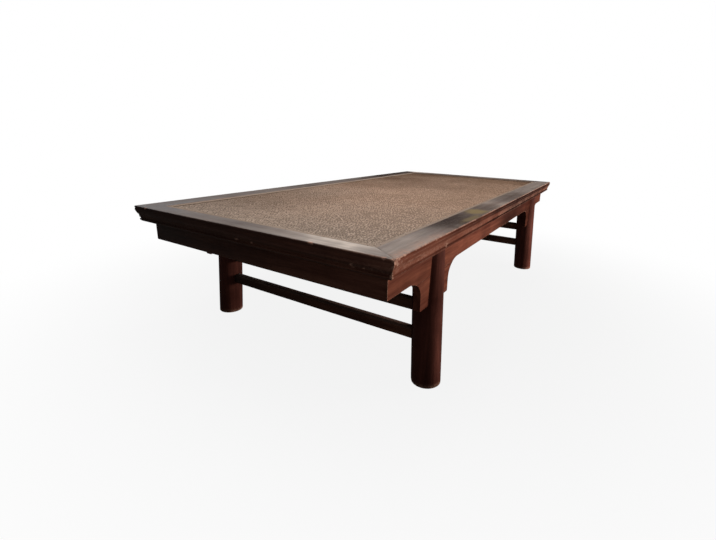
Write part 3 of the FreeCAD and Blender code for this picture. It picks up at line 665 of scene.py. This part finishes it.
def blot(points, x, y, size_x, size_y):
    """A soft spot on the top, 1 in its middle."""
    away = np.hypot((points[:, 0] - x) / size_x, (points[:, 1] - y) / size_y)
    away += rough_noise(points, 26, 3) * 0.45
    return np.clip(1.6 - 1.6 * away, 0, 1)


def reddish(points, inset):
    """Where the front rail's top is worn beside its arris, towards the left end."""
    beside = np.interp(inset, [4, 34], [1, 0]) * np.interp(points[:, 0], [-630, -480], [1, 0])
    return beside * np.clip(0.45 + rough_noise(points, 26, 16) * 0.6, 0, 1) * 0.6


def rail(name, along_x, turn, face, width, groove):
    """One of the four members of the top frame."""
    section, wear, fade, bend, corner = moulded_section(face, width, groove)
    slope = 1 / MITRE_SLOPE if along_x else MITRE_SLOPE
    half = HALF_LENGTH if along_x else HALF_WIDTH
    outer = HALF_WIDTH if along_x else HALF_LENGTH
    reach = half - seam(section[:, 0], slope)

    def place(along, inset, drop):
        # a long rail's groove closes where the aprons end
        if along_x:
            past = np.abs(along) > HALF_LENGTH - END_APRON_GROOVE[0] + PAST_CORNER
            in_groove = (inset > MOULDING) & (np.abs(drop - GROOVE_TOP_DROP) < 1)
            drop = np.where(past & in_groove, FRAME_THICKNESS - CLOSED_GROOVE, drop)
        return set_out(along_x, turn, outer, along, inset, TOP - drop)

    def dents(points, number):
        inset, drop = section[number].T
        exposed = (inset < MOULDING) & (drop < FRAME_THICKNESS - 1)
        uneven = np.clip(rough_noise(points, 34, 1) + 0.15, 0, 1) * WORN_DENT * wear[number]
        waves = np.clip(rough_noise(points, 150, 2) + 0.3, 0, 1) * TOP_WAVE * (drop < 1)
        return np.where(exposed, uneven + chip_depth(points), 0) + waves

    def shape_values(points, number, from_end):
        inset, drop = section[number].T
        top = fade[number]
        near = np.clip(1 - np.linalg.norm(points - NEAR_CORNER, axis=1) / NEAR_REACH, 0, 1)
        patchy = np.clip(0.55 + rough_noise(points, 42, 4) * 1.1, 0, 1)
        worn = wear[number] * (0.15 + 0.85 * patchy) * np.maximum(SIDE_WEAR[name], near ** 2 * 0.8)
        by_mitre = np.interp(from_end, [0, 6], [1, 0]) * np.interp(drop, [0, 14], [1, 0]) * (drop > 0.2)
        worn = np.maximum(worn, by_mitre * 0.35 * patchy)
        worn = np.maximum(worn, (chip_depth(points) > 0.25) * 0.75)
        if name == "frame_front":
            worn = np.maximum(worn, reddish(points, inset) * top)
        rows = np.array(TOP_TONES[name])
        place_along = points[:, 0 if along_x else 1]
        stain, scuff, ash = (np.interp(place_along, rows[:, 0], column) for column in rows[:, 1:].T)
        stain = np.clip(stain * (1 + rough_noise(points, 60, 5) * 0.35), 0, 1)
        # the scuffs near the near corner also paint a highlight
        scuff *= 1 + rough_noise(points, 26, 8) * 0.7
        scuff += np.clip(rough_noise(points, 34, 9) - 0.25, 0, 1) * 0.2
        olive = np.max([blot(points, *spot) * strength for *spot, strength in OLIVE_PATCHES], axis=0)
        olive *= name == "frame_front"
        # the cove under the arris and the parts under the band and bead are darkened for dirt and with
        # painted shade
        if along_x:
            grime = np.interp(drop, *LONG_GRIME_AND_SHADE) * np.interp(points[:, 0], *GRIME_AND_SHADE_ALONG)
        else:
            grime = np.interp(drop, *END_GRIME_AND_SHADE)
        outside = (inset < MOULDING) & (drop > 1.5)
        grime = np.clip(grime * (1.05 + rough_noise(points, 36, 13) * 0.3), 0, 1) * outside
        return {"wear": np.clip(worn, 0, 1), "fade": top, "stain": stain * top, "olive": olive * top,
                "ash": ash, "scuff": np.clip(scuff, 0, 1) * (top > 0.95), "grime": grime}

    steps = stations(half, RAIL_END_ZONE, RAIL_END_STEP, RAIL_STEP)
    moulding_cap = list(range(bend, corner + 1))
    inner_cap = list(range(corner, len(section))) + list(range(bend + 1))
    caps = [moulding_cap, inner_cap]
    mesh = bar(name, section, reach, steps, RAIL_END_ZONE, place, shape_values, dents, caps)
    stands_for = [name.replace("frame", "frame_rail")]
    finish_piece(name, mesh, wood["x" if along_x else "y"], stands_for, smooth=42)


end_width = END_FACE + LEDGE / MITRE_SLOPE
rail("frame_front", True, 1, LONG_FACE, LONG_FACE + LEDGE, LONG_APRON_GROOVE)
rail("frame_back", True, -1, LONG_FACE, LONG_FACE + LEDGE, LONG_APRON_GROOVE)
rail("frame_left", False, 1, END_FACE, end_width, END_APRON_GROOVE)
rail("frame_right", False, -1, END_FACE, end_width, END_APRON_GROOVE)

# Strips that press the mat down

# Half of a strip's section, from its foot up: inset and rise
HALF_CROWN = [(0.3, 0.0), (0.0, 0.35), (0.0, 2.2), (0.5, 2.75), (2.2, 2.98)]

STRIP_END_ZONE = 30
STRIP_END_STEP = 5
STRIP_STEP = 12


def pressing_strip(name, along_x, turn):
    """A thin rounded strip over one edge of the mat."""
    crown = HALF_CROWN + [(STRIP_WIDTH / 2, STRIP_TOP - MAT_TOP)]
    crown += [(STRIP_WIDTH - inset, rise) for inset, rise in reversed(HALF_CROWN)]
    section = np.array(crown)
    half = (FIELD_HALF_X if along_x else FIELD_HALF_Y) - MAT_GAP
    outer = (FIELD_HALF_Y if along_x else FIELD_HALF_X) - MAT_GAP
    reach = half - section[:, 0]

    def place(along, inset, rise):
        return set_out(along_x, turn, outer, along, inset, MAT_TOP + rise)

    def dents(points, number):
        return np.clip(rough_noise(points, 40, 11), 0, 1) * 0.22 * (section[number, 1] > 2)

    def shape_values(points, number, from_end):
        x, y = points[:, 0], points[:, 1]
        tone = 0.5 + 0.5 * rough_noise(points, 55, 12)
        near = np.interp(x, [-670, -470], [1, 0]) * np.interp(y, [-100, 100], [1, 0])
        back = np.interp(y, [200, 340], [0, 1])
        # the strip's foot near the left front is darkened as a painted shadow line beside the mat, with dirt
        return {"tone": np.clip(tone, 0, 1), "low": (section[number, 1] < 1) * 0.8 * near,
                "soil": 0.6 - 0.2 * back, "grey": 0.35 + 0.15 * near + 0.1 * back}

    steps = stations(half, STRIP_END_ZONE, STRIP_END_STEP, STRIP_STEP)
    caps = [list(range(len(section)))]
    mesh = bar(name, section, reach, steps, STRIP_END_ZONE, place, shape_values, dents, caps)
    finish_piece(name, mesh, strip_cane["x" if along_x else "y"], [f"mat_{name}"], smooth=50)


pressing_strip("strip_front", True, 1)
pressing_strip("strip_back", True, -1)
pressing_strip("strip_left", False, 1)
pressing_strip("strip_right", False, -1)

# Pins in the strips and pegs under the corners

# Heights of their hidden ends and of their tips
PIN_BASE = MAT_TOP + 0.5
PIN_TIP = STRIP_TOP + 0.45
PEG_BASE = FRAME_BOTTOM + 12
PEG_TIP = FRAME_BOTTOM - 0.5

# A domed head from its rim inwards, as shares of the radius: how wide, and how far from the tip
DOME_SHARES = [(1.0, 0.34), (0.82, 0.14), (0.45, 0.03)]
BASE_SHARE = 0.96
PIN_SIDES = 10
PEG_SIDES = 20


def studs(name, places, base, tip, radius, sides, material, stands_for):
    """Short rods with domed heads, from a hidden base to the crown of the dome."""
    toward = 1 if tip > base else -1
    profile = [(radius * BASE_SHARE, base)]
    profile += [(radius * wide, tip - toward * radius * below) for wide, below in DOME_SHARES]
    points, faces = [], []
    for x, y in places:
        start = len(points)
        for r, z in profile:
            for step in range(sides):
                angle = math.tau * step / sides
                points.append((x + r * math.cos(angle), y + r * math.sin(angle), z))
        points.append((x, y, tip))
        faces += tube_faces(len(profile), sides, start)
        upper = start + (len(profile) - 1) * sides
        for step in range(sides):
            faces.append((upper + step, upper + (step + 1) % sides, len(points) - 1))
        faces.append(tuple(start + step for step in reversed(range(sides))))
    tone = np.repeat(random.uniform(0, 1, len(places)), len(points) // len(places))
    mesh = closed_mesh(name, points, faces, {"tone": tone, "wear": tone * 0.5})
    finish_piece(name, mesh, material, stands_for, smooth=50)


def pin_row(half, count):
    """Even places along a side, clear of the strips that meet at its ends."""
    run = half - 2 * STRIP_WIDTH
    return [run * (2 * number / (count - 1) - 1) for number in range(count)]


pin_places = []
for side in (-1, 1):
    pin_places += [(x, (FIELD_HALF_Y - PIN_INSET) * side) for x in pin_row(FIELD_HALF_X, LONG_PINS)]
for side in (-1, 1):
    pin_places += [((FIELD_HALF_X - PIN_INSET) * side, y) for y in pin_row(FIELD_HALF_Y, END_PINS)]
peg_places = [(PEG_PLACE[0] * sx, PEG_PLACE[1] * sy) for sx in (-1, 1) for sy in (-1, 1)]
studs("pins", pin_places, PIN_BASE, PIN_TIP, PIN_RADIUS, PIN_SIDES, strip_cane["x"],
      ["strip_pins"])
studs("pegs", peg_places, PEG_BASE, PEG_TIP, PEG_RADIUS, PEG_SIDES, wood["z"],
      ["corner_pegs"])

# Plaited mat

STRAND_PITCH = 5.0
STRAND_WIDTH = 4.7

# How far a strand strays sideways and in height at a crossing
SWAY = 0.2
LIFT = (-0.3, 0.08)

# The weave's skips: the size of their lumps in crossings, and how readily they come
SKIP_SIZE = 2.6
SKIP_STRENGTH = 1.25

# Heights of a strand's middle where it passes over another, under it, and at its ends
STRAND_OVER = 395.2
STRAND_UNDER = 393.9
STRAND_END = 394.1

# Section of a strand: a share of its width, and a rise from its middle
STRAND_SECTION = np.array([(-0.5, -0.25), (0.0, 0.62), (0.5, -0.25)])

# How far the strands keep inside the solid mat's edge and below its top, and how the mat sags
MAT_EASE = 0.3
MAT_CLEAR = 0.02
SAG = 0.15
SAG_REACH = 150

# How dark a strand is made where it passes under, and at its edges, for dirt and painted shade. More than 1
# makes the dark part longer
UNDER_DIRT_AND_SHADE = 1.5
EDGE_DIRT_AND_SHADE = 0.22


def over_at(lengthwise, crosswise):
    """Whether the strand along X lies on top where it crosses one along Y. The weave skips in places."""
    lengthwise, crosswise = np.broadcast_arrays(lengthwise, crosswise)
    places = np.column_stack([crosswise.ravel(), lengthwise.ravel(), np.zeros(lengthwise.size)])
    skip = np.round(lattice_noise(places, SKIP_SIZE, 15) * SKIP_STRENGTH).astype(int)
    return (lengthwise + crosswise + skip.reshape(lengthwise.shape)) % 2 == 0


def strands(count, crossings, half_across, half_along, along_x):
    """Ribbons that pass over and under by turns: three points round, one ring at each crossing.

    Gives X, Y, Z, tone and low of the points, the side faces and the end faces.
    """
    ribbon = np.arange(count)
    ring = np.arange(-1, crossings + 1)
    centre = (ribbon + 0.5) * (2 * half_across / count) - half_across
    pitch = 2 * half_along / crossings
    along = np.clip((ring + 0.5) * pitch - half_along, -half_along, half_along)
    if along_x:
        over = over_at(ribbon[:, None], ring[None, :])
    else:
        over = ~over_at(ring[None, :], ribbon[:, None])
    middle = np.where(over, STRAND_OVER, STRAND_UNDER)
    middle[:, 0] = middle[:, -1] = STRAND_END
    sway = random.normal(0, SWAY, over.shape)
    lift = random.uniform(*LIFT, over.shape)
    own = random.uniform(0, 1, count)[:, None, None] * 0.5 + random.uniform(0, 0.5, over.shape)[:, :, None]
    across = centre[:, None, None] + sway[:, :, None] + STRAND_SECTION[:, 0] * STRAND_WIDTH
    height = (middle + lift)[:, :, None] + STRAND_SECTION[:, 1]
    run = np.broadcast_to(along[None, :, None], height.shape)
    tone = np.broadcast_to(own, height.shape)
    # dips and edges darkened for dirt and painted shade
    low = np.where(over, 0.0, UNDER_DIRT_AND_SHADE)[:, :, None] + np.array([EDGE_DIRT_AND_SHADE, 0.0, EDGE_DIRT_AND_SHADE])
    rings = len(ring)
    first = (ribbon[:, None, None] * rings + np.arange(rings - 1)[None, :, None]) * 3
    side = np.array([0, 1, 2])
    after = (side + 1) % 3
    corners = [first + side, first + after, first + after + 3, first + side + 3]
    quads = np.stack(corners, axis=-1).reshape(-1, 4)
    ends = []
    for number in ribbon:
        start = number * rings * 3
        last = start + (rings - 1) * 3
        ends += [(start + 2, start + 1, start), (last, last + 1, last + 2)]
    x, y = (run, across) if along_x else (across, run)
    return [values.ravel() for values in (x, y, height, tone, low)], quads, ends


def mat_soil(x, y):
    """How brown the mat is: most towards the right end and the back."""
    front = np.maximum(np.interp(y, [-300, 0], [0.4, 1.0]), np.interp(x, [450, 620], [0.0, 1.0]))
    back = np.interp(y, [50, 230], [0.05, 0.72]) * np.interp(x, [-320, -150], [1.0, 0.2])
    return np.interp(x, [-350, 100, 770], [0, 0.42, 0.85]) * front + back


def mat_grey(x, y):
    """How grey the mat is: most at the left end."""
    back = np.interp(y, [0, 200], [0.0, 0.3]) * np.interp(x, [-250, 0], [1.0, 0.0])
    return np.maximum(np.interp(x, [-770, -550, -200], [0.8, 0.4, 0.0]), back)


def plaited_mat():
    """All the strands both ways, as one piece."""
    half_x = FIELD_HALF_X - MAT_GAP - MAT_EASE
    half_y = FIELD_HALF_Y - MAT_GAP - MAT_EASE
    count_x = round(2 * half_x / STRAND_PITCH)
    count_y = round(2 * half_y / STRAND_PITCH)
    along_x, quads, ends = strands(count_y, count_x, half_y - MAT_EASE, half_x, True)
    along_y, more_quads, more_ends = strands(count_x, count_y, half_x - MAT_EASE, half_y, False)
    x, y, z, tone, low = (np.concatenate(pair) for pair in zip(along_x, along_y))
    edge = np.minimum(FIELD_HALF_X - np.abs(x), FIELD_HALF_Y - np.abs(y))
    z = np.minimum(z, MAT_TOP - MAT_CLEAR) - np.clip(edge / SAG_REACH, 0, 1) * SAG
    points = np.column_stack([x, y, z])
    offset = len(along_x[0])
    faces = quads.tolist() + ends + (more_quads + offset).tolist()
    faces += [tuple(point + offset for point in end) for end in more_ends]
    soil = np.clip(mat_soil(x, y) + rough_noise(points, 160, 14) * 0.25, 0, 1)
    values = {"tone": tone, "low": low, "soil": soil, "grey": mat_grey(x, y)}
    mesh = closed_mesh("mat", points, faces, values)
    finish_piece("mat", mesh, mat_cane, ["woven_mat"], smooth=80)


plaited_mat()

# Pieces that keep the shape of their solids, with their edges rounded and worn

# Edges sharper than this angle in degrees are rounded, if they are this many times as long as the rounding
SHARP_EDGE = 30
LONG_ENOUGH = 2.5

APRON_ROUND = 1.2
BOARD_ROUND = 0.6
BATTEN_ROUND = 0.8
END_WEAR_SHARE = 0.5


def rounded_copy(name, node_name, material, round_by, wear_share):
    """The solid's own mesh with whole flat faces and rounded edges, which are marked as worn."""
    shape = bmesh.new()
    shape.from_mesh(nodes[node_name].data)
    bmesh.ops.remove_doubles(shape, verts=shape.verts, dist=1e-6)
    bmesh.ops.dissolve_limit(shape, angle_limit=math.radians(0.5), verts=shape.verts, edges=shape.edges)
    edges = [edge for edge in shape.edges if edge.is_manifold and edge.is_convex
             and edge.calc_face_angle(0) > math.radians(SHARP_EDGE)
             and edge.calc_length() > LONG_ENOUGH * round_by * MM]
    made = bmesh.ops.bevel(shape, geom=edges, offset=round_by * MM, segments=2, profile=0.5,
                           affect="EDGES", clamp_overlap=True)
    rounded = set(made["faces"])
    worn = [wear_share if all(face in rounded for face in vert.link_faces) else 0.0 for vert in shape.verts]
    layer = shape.verts.layers.float.new("wear")
    for vert, share in zip(shape.verts, worn):
        vert[layer] = share
    bmesh.ops.remove_doubles(shape, verts=shape.verts, dist=1e-5)
    mesh = bpy.data.meshes.new(name)
    shape.to_mesh(mesh)
    shape.free()
    finish_piece(name, mesh, material, [node_name], smooth=40)


CORNERS = ["front_left", "front_right", "back_left", "back_right"]

# Names of the pieces and of their nodes, sides, material and slot, the rounding, and how worn it is
COPIES = [
    ("long_apron", "apron", ["front", "back"], wood["x"], "lacquered_wood", APRON_ROUND, 1.0),
    ("end_apron", "apron", ["left", "right"], wood["y"], "lacquered_wood", APRON_ROUND, END_WEAR_SHARE),
    ("wing", "spandrel", CORNERS, wood["x"], "lacquered_wood", APRON_ROUND, 1.0),
    ("board", "panel_board", ["front", "middle", "back"], board_wood, "panel_wood", BOARD_ROUND, 1.0),
    ("cross", "batten", ["left", "middle", "right"], batten_wood, "panel_wood", BATTEN_ROUND, 1.0),
]

for name, node_name, sides, material, slot, round_by, wear_share in COPIES:
    for side in sides:
        rounded_copy(f"{name}_{side}", f"{node_name}_{side}", material, round_by, wear_share)

# Legs

LEG_SIDES = 96
LEG_RINGS = 60
FIRST_PLAIN_RING = 8

# The foot's worn edge: heights above the floor, and how much is gone there
FOOT_EASE = [(0.0, 1.9), (0.5, 1.1), (1.3, 0.5), (2.6, 0.12), (4.5, 0.0)]

# Dents all over a leg and at its foot, and how high the foot's dents and wear go
LEG_DENT = 0.35
FOOT_DENT = 1.6
FOOT_DENT_TOP = 9
FOOT_WEAR_TOP = 14

# How far the slot's cutter reaches past the leg's middle, and its faces
CUTTER_REACH = 60
BOX_FACES = [(0, 1, 3, 2), (4, 5, 7, 6), (0, 1, 5, 4), (2, 3, 7, 6), (0, 2, 6, 4), (1, 3, 7, 5)]


def plain_object(name, points, faces, values):
    """An object that only serves to cut another, or to be cut."""
    mesh = closed_mesh(name, points, faces, values)
    thing = bpy.data.objects.new(name, mesh)
    bpy.context.scene.collection.objects.link(thing)
    return thing


def leg_axis(height):
    """How far the middle of a leg lies from the table's middle along X and Y, at a height."""
    return [foot - lean * height / TOP for foot, lean in zip(LEG_FOOT, LEG_LEAN)]


def leg(name, side_x, side_y, stands_for):
    """A leaning round leg with a worn foot, slotted for the apron and its spandrel."""
    levels = FOOT_EASE + [(height, 0.0) for height in np.linspace(FIRST_PLAIN_RING, FRAME_BOTTOM, LEG_RINGS)]
    angles = np.linspace(0, math.tau, LEG_SIDES, endpoint=False)
    circle = np.column_stack([np.cos(angles), np.sin(angles)])
    rings, wear = [], []
    for height, trim in levels:
        centre = np.array(leg_axis(height)) * (side_x, side_y)
        ring = np.column_stack([centre + LEG_RADIUS * circle, np.full(LEG_SIDES, height)])
        dent = np.clip(rough_noise(ring, 60, 21), 0, 1) * LEG_DENT + trim
        if height > 0:
            deep = FOOT_DENT * max(0.0, 1 - height / FOOT_DENT_TOP)
            dent += np.clip(rough_noise(ring, 14, 22) - 0.1, 0, 1) * deep
        ring[:, :2] = centre + (LEG_RADIUS - dent)[:, None] * circle
        rings.append(ring)
        low = max(0.0, 1 - height / FOOT_WEAR_TOP) * 0.8
        wear.append(low * (0.4 + 0.6 * np.clip(rough_noise(ring, 20, 23) + 0.4, 0, 1)))
    faces = tube_faces(len(rings), LEG_SIDES)
    faces.append(tuple(reversed(range(LEG_SIDES))))
    faces.append(tuple(range((len(rings) - 1) * LEG_SIDES, len(rings) * LEG_SIDES)))
    post = plain_object(f"{name}_post", np.concatenate(rings), faces, {"wear": np.concatenate(wear)})
    across = [side_x * LEG_FOOT[0] + reach for reach in (-CUTTER_REACH, CUTTER_REACH)]
    corners = [(x, side_y * y, z) for z in (SLOT_FOOT, TOP) for y in SLOT for x in across]
    cutter = plain_object(f"{name}_slot", corners, BOX_FACES, {})
    cut = post.modifiers.new("slot", "BOOLEAN")
    cut.operation = "DIFFERENCE"
    cut.solver = "EXACT"
    cut.object = cutter
    mesh = bpy.data.meshes.new_from_object(post.evaluated_get(bpy.context.evaluated_depsgraph_get()))
    mesh.name = name
    bpy.data.objects.remove(post)
    bpy.data.objects.remove(cutter)
    finish_piece(name, mesh, wood["z"], stands_for, smooth=40)


for corner in CORNERS:
    leg(f"post_{corner}", -1 if "left" in corner else 1, -1 if "front" in corner else 1, [f"leg_{corner}"])

# Stretchers

# How far their ends run into the legs, and the rings along them
INTO_LEG = 6
STRETCHER_END_ZONE = 20
STRETCHER_STEP = 10
ROUND_STEPS = 6


def stretcher(name, side_x, height, stands_for):
    """A bar with rounded edges. Its ends run into the legs, which hide them."""
    inner_x, inner_z = (half - STRETCHER_ROUND for half in STRETCHER_HALF)
    section = []
    for corner, (turn_x, turn_z) in enumerate([(1, 1), (-1, 1), (-1, -1), (1, -1)]):
        for step in range(ROUND_STEPS + 1):
            angle = math.pi / 2 * (corner + step / ROUND_STEPS)
            section.append((inner_x * turn_x + STRETCHER_ROUND * math.cos(angle),
                            inner_z * turn_z + STRETCHER_ROUND * math.sin(angle)))
    section = np.array(section)
    axis_x, axis_y = leg_axis(height)
    half = axis_y - LEG_RADIUS + INTO_LEG
    reach = np.full(len(section), half)

    def place(along, across, rise):
        return np.column_stack([across + side_x * axis_x, along, rise + height])

    def dents(points, number):
        return np.clip(rough_noise(points, 70, 31), 0, 1) * 0.4

    def shape_values(points, number, from_end):
        upper = np.clip(section[number, 1] - 11, 0, 1)
        # a stretcher's top is paler: faded, with painted sheen
        return {"wear": np.clip(rough_noise(points, 50, 32), 0, 1) * 0.3 * upper, "fade": upper * 0.35}

    steps = stations(half, STRETCHER_END_ZONE, STRETCHER_STEP, STRETCHER_STEP)
    caps = [list(range(len(section)))]
    mesh = bar(name, section, reach, steps, STRETCHER_END_ZONE, place, shape_values, dents, caps)
    finish_piece(name, mesh, wood["y"], stands_for, smooth=50)


for x_name, side_x in (("left", -1), ("right", 1)):
    for level, height in STRETCHER_HEIGHTS.items():
        stretcher(f"rung_{x_name}_{level}", side_x, height, [f"stretcher_{x_name}_{level}"])

# Camera, at the photograph's place and angle

CAMERA_PLACE = (-1.37439, -0.72274, 0.60232)
CAMERA_ANGLES = (74.58544, -1.49692, -58.16354)

camera_data = bpy.data.cameras.new("camera")
camera_data.sensor_width = 36
camera_data.lens = 19.533
camera_data.shift_x = -0.0279
camera_data.shift_y = -0.0365
camera_data.clip_start = 0.01
camera = bpy.data.objects.new("camera", camera_data)
bpy.context.scene.collection.objects.link(camera)
camera.location = CAMERA_PLACE
camera.rotation_euler = [math.radians(angle) for angle in CAMERA_ANGLES]
bpy.context.scene.camera = camera

# Lamps

WARM = (1.0, 0.95, 0.89)

# Name, place, what it points at, sizes, watts and colour
LAMPS = [
    ("key", (1.7, -2.6, 1.2), (0, 0, 0.3), (1.3, 0.8), 68, WARM),
    ("low", (1.3, -2.7, 0.34), (0, 0, 0.34), (1.3, 0.3), 47, WARM),
    ("overhead", (-0.3, -0.1, 2.1), (-0.3, -0.1, 0.4), (0.9, 0.5), 22, (1.0, 0.97, 0.95)),
    ("rim", (1.9, 1.15, 1.35), (-0.6, -0.3, 0.4), (1.6, 0.7), 18.5, (1.0, 0.98, 0.96)),
]

for name, place, aim, size, power, colour in LAMPS:
    data = bpy.data.lights.new(name, "AREA")
    data.shape = "RECTANGLE"
    data.size, data.size_y = size
    data.energy = power
    data.color = colour
    lamp = bpy.data.objects.new(name, data)
    bpy.context.scene.collection.objects.link(lamp)
    lamp.location = place
    lamp.rotation_euler = (Vector(aim) - Vector(place)).to_track_quat("-Z", "Y").to_euler()

# World: white where it is seen, and a weak light elsewhere

BACKDROP = 1.0
AMBIENT = 0.09


def seen_directly(n):
    """1 for rays from the camera, a reflection or through glass, and 0 for light that bounces."""
    path = n.add("LightPath").outputs
    seen = n.maths("MAXIMUM", path["Is Camera Ray"], path["Is Glossy Ray"])
    return n.maths("MAXIMUM", seen, path["Is Transmission Ray"])


world = bpy.data.worlds.new("world")
world_nodes = Nodes(world)
background = world.node_tree.nodes["Background"].inputs
background["Color"].default_value = (1, 1, 1, 1)
strength = world_nodes.ramp(seen_directly(world_nodes), 0.0, 1.0, AMBIENT, BACKDROP)
world_nodes.set(background["Strength"], strength)
bpy.context.scene.world = world

# Floor: it keeps the table's shadow, and turns into the plain backdrop away from the table

FLOOR_HALF = 12
FLOOR_GREY = (0.15, 0.15, 0.15, 1)

# How much of the floor's look is backdrop, near the table's middle and far from it, in metres
NEAR_DISTANCE = 0.5
FAR_DISTANCE = 1.7
NEAR_SHARE = 0.88
FAR_SHARE = 1.0


def floor_material():
    n = Nodes(bpy.data.materials.new("floor"))
    paint = n.tree.nodes["Principled BSDF"]
    paint.inputs["Base Color"].default_value = FLOOR_GREY
    paint.inputs["Roughness"].default_value = 1.0
    paint.inputs["Specular IOR Level"].default_value = 0.0
    glow = n.add("Emission")
    glow.inputs["Strength"].default_value = BACKDROP
    distance = n.add("VectorMath")
    distance.operation = "LENGTH"
    n.set(distance.inputs[0], n.place())
    plain = n.ramp(distance.outputs["Value"], NEAR_DISTANCE, FAR_DISTANCE, NEAR_SHARE, FAR_SHARE)
    plain.node.interpolation_type = "SMOOTHSTEP"
    blend = n.add("MixShader")
    n.set(blend.inputs["Fac"], n.maths("MULTIPLY", seen_directly(n), plain))
    n.set(blend.inputs[1], paint.outputs["BSDF"])
    n.set(blend.inputs[2], glow.outputs["Emission"])
    n.set(n.tree.nodes["Material Output"].inputs["Surface"], blend.outputs["Shader"])
    return n.owner


floor_mesh = bpy.data.meshes.new("floor")
floor_corners = [(x * FLOOR_HALF, y * FLOOR_HALF, 0) for x, y in ((-1, -1), (1, -1), (1, 1), (-1, 1))]
floor_mesh.from_pydata(floor_corners, [], [(0, 1, 2, 3)])
floor_mesh.materials.append(floor_material())
floor = bpy.data.objects.new("floor", floor_mesh)
bpy.context.scene.collection.objects.link(floor)

bpy.context.scene.view_settings.view_transform = "Standard"
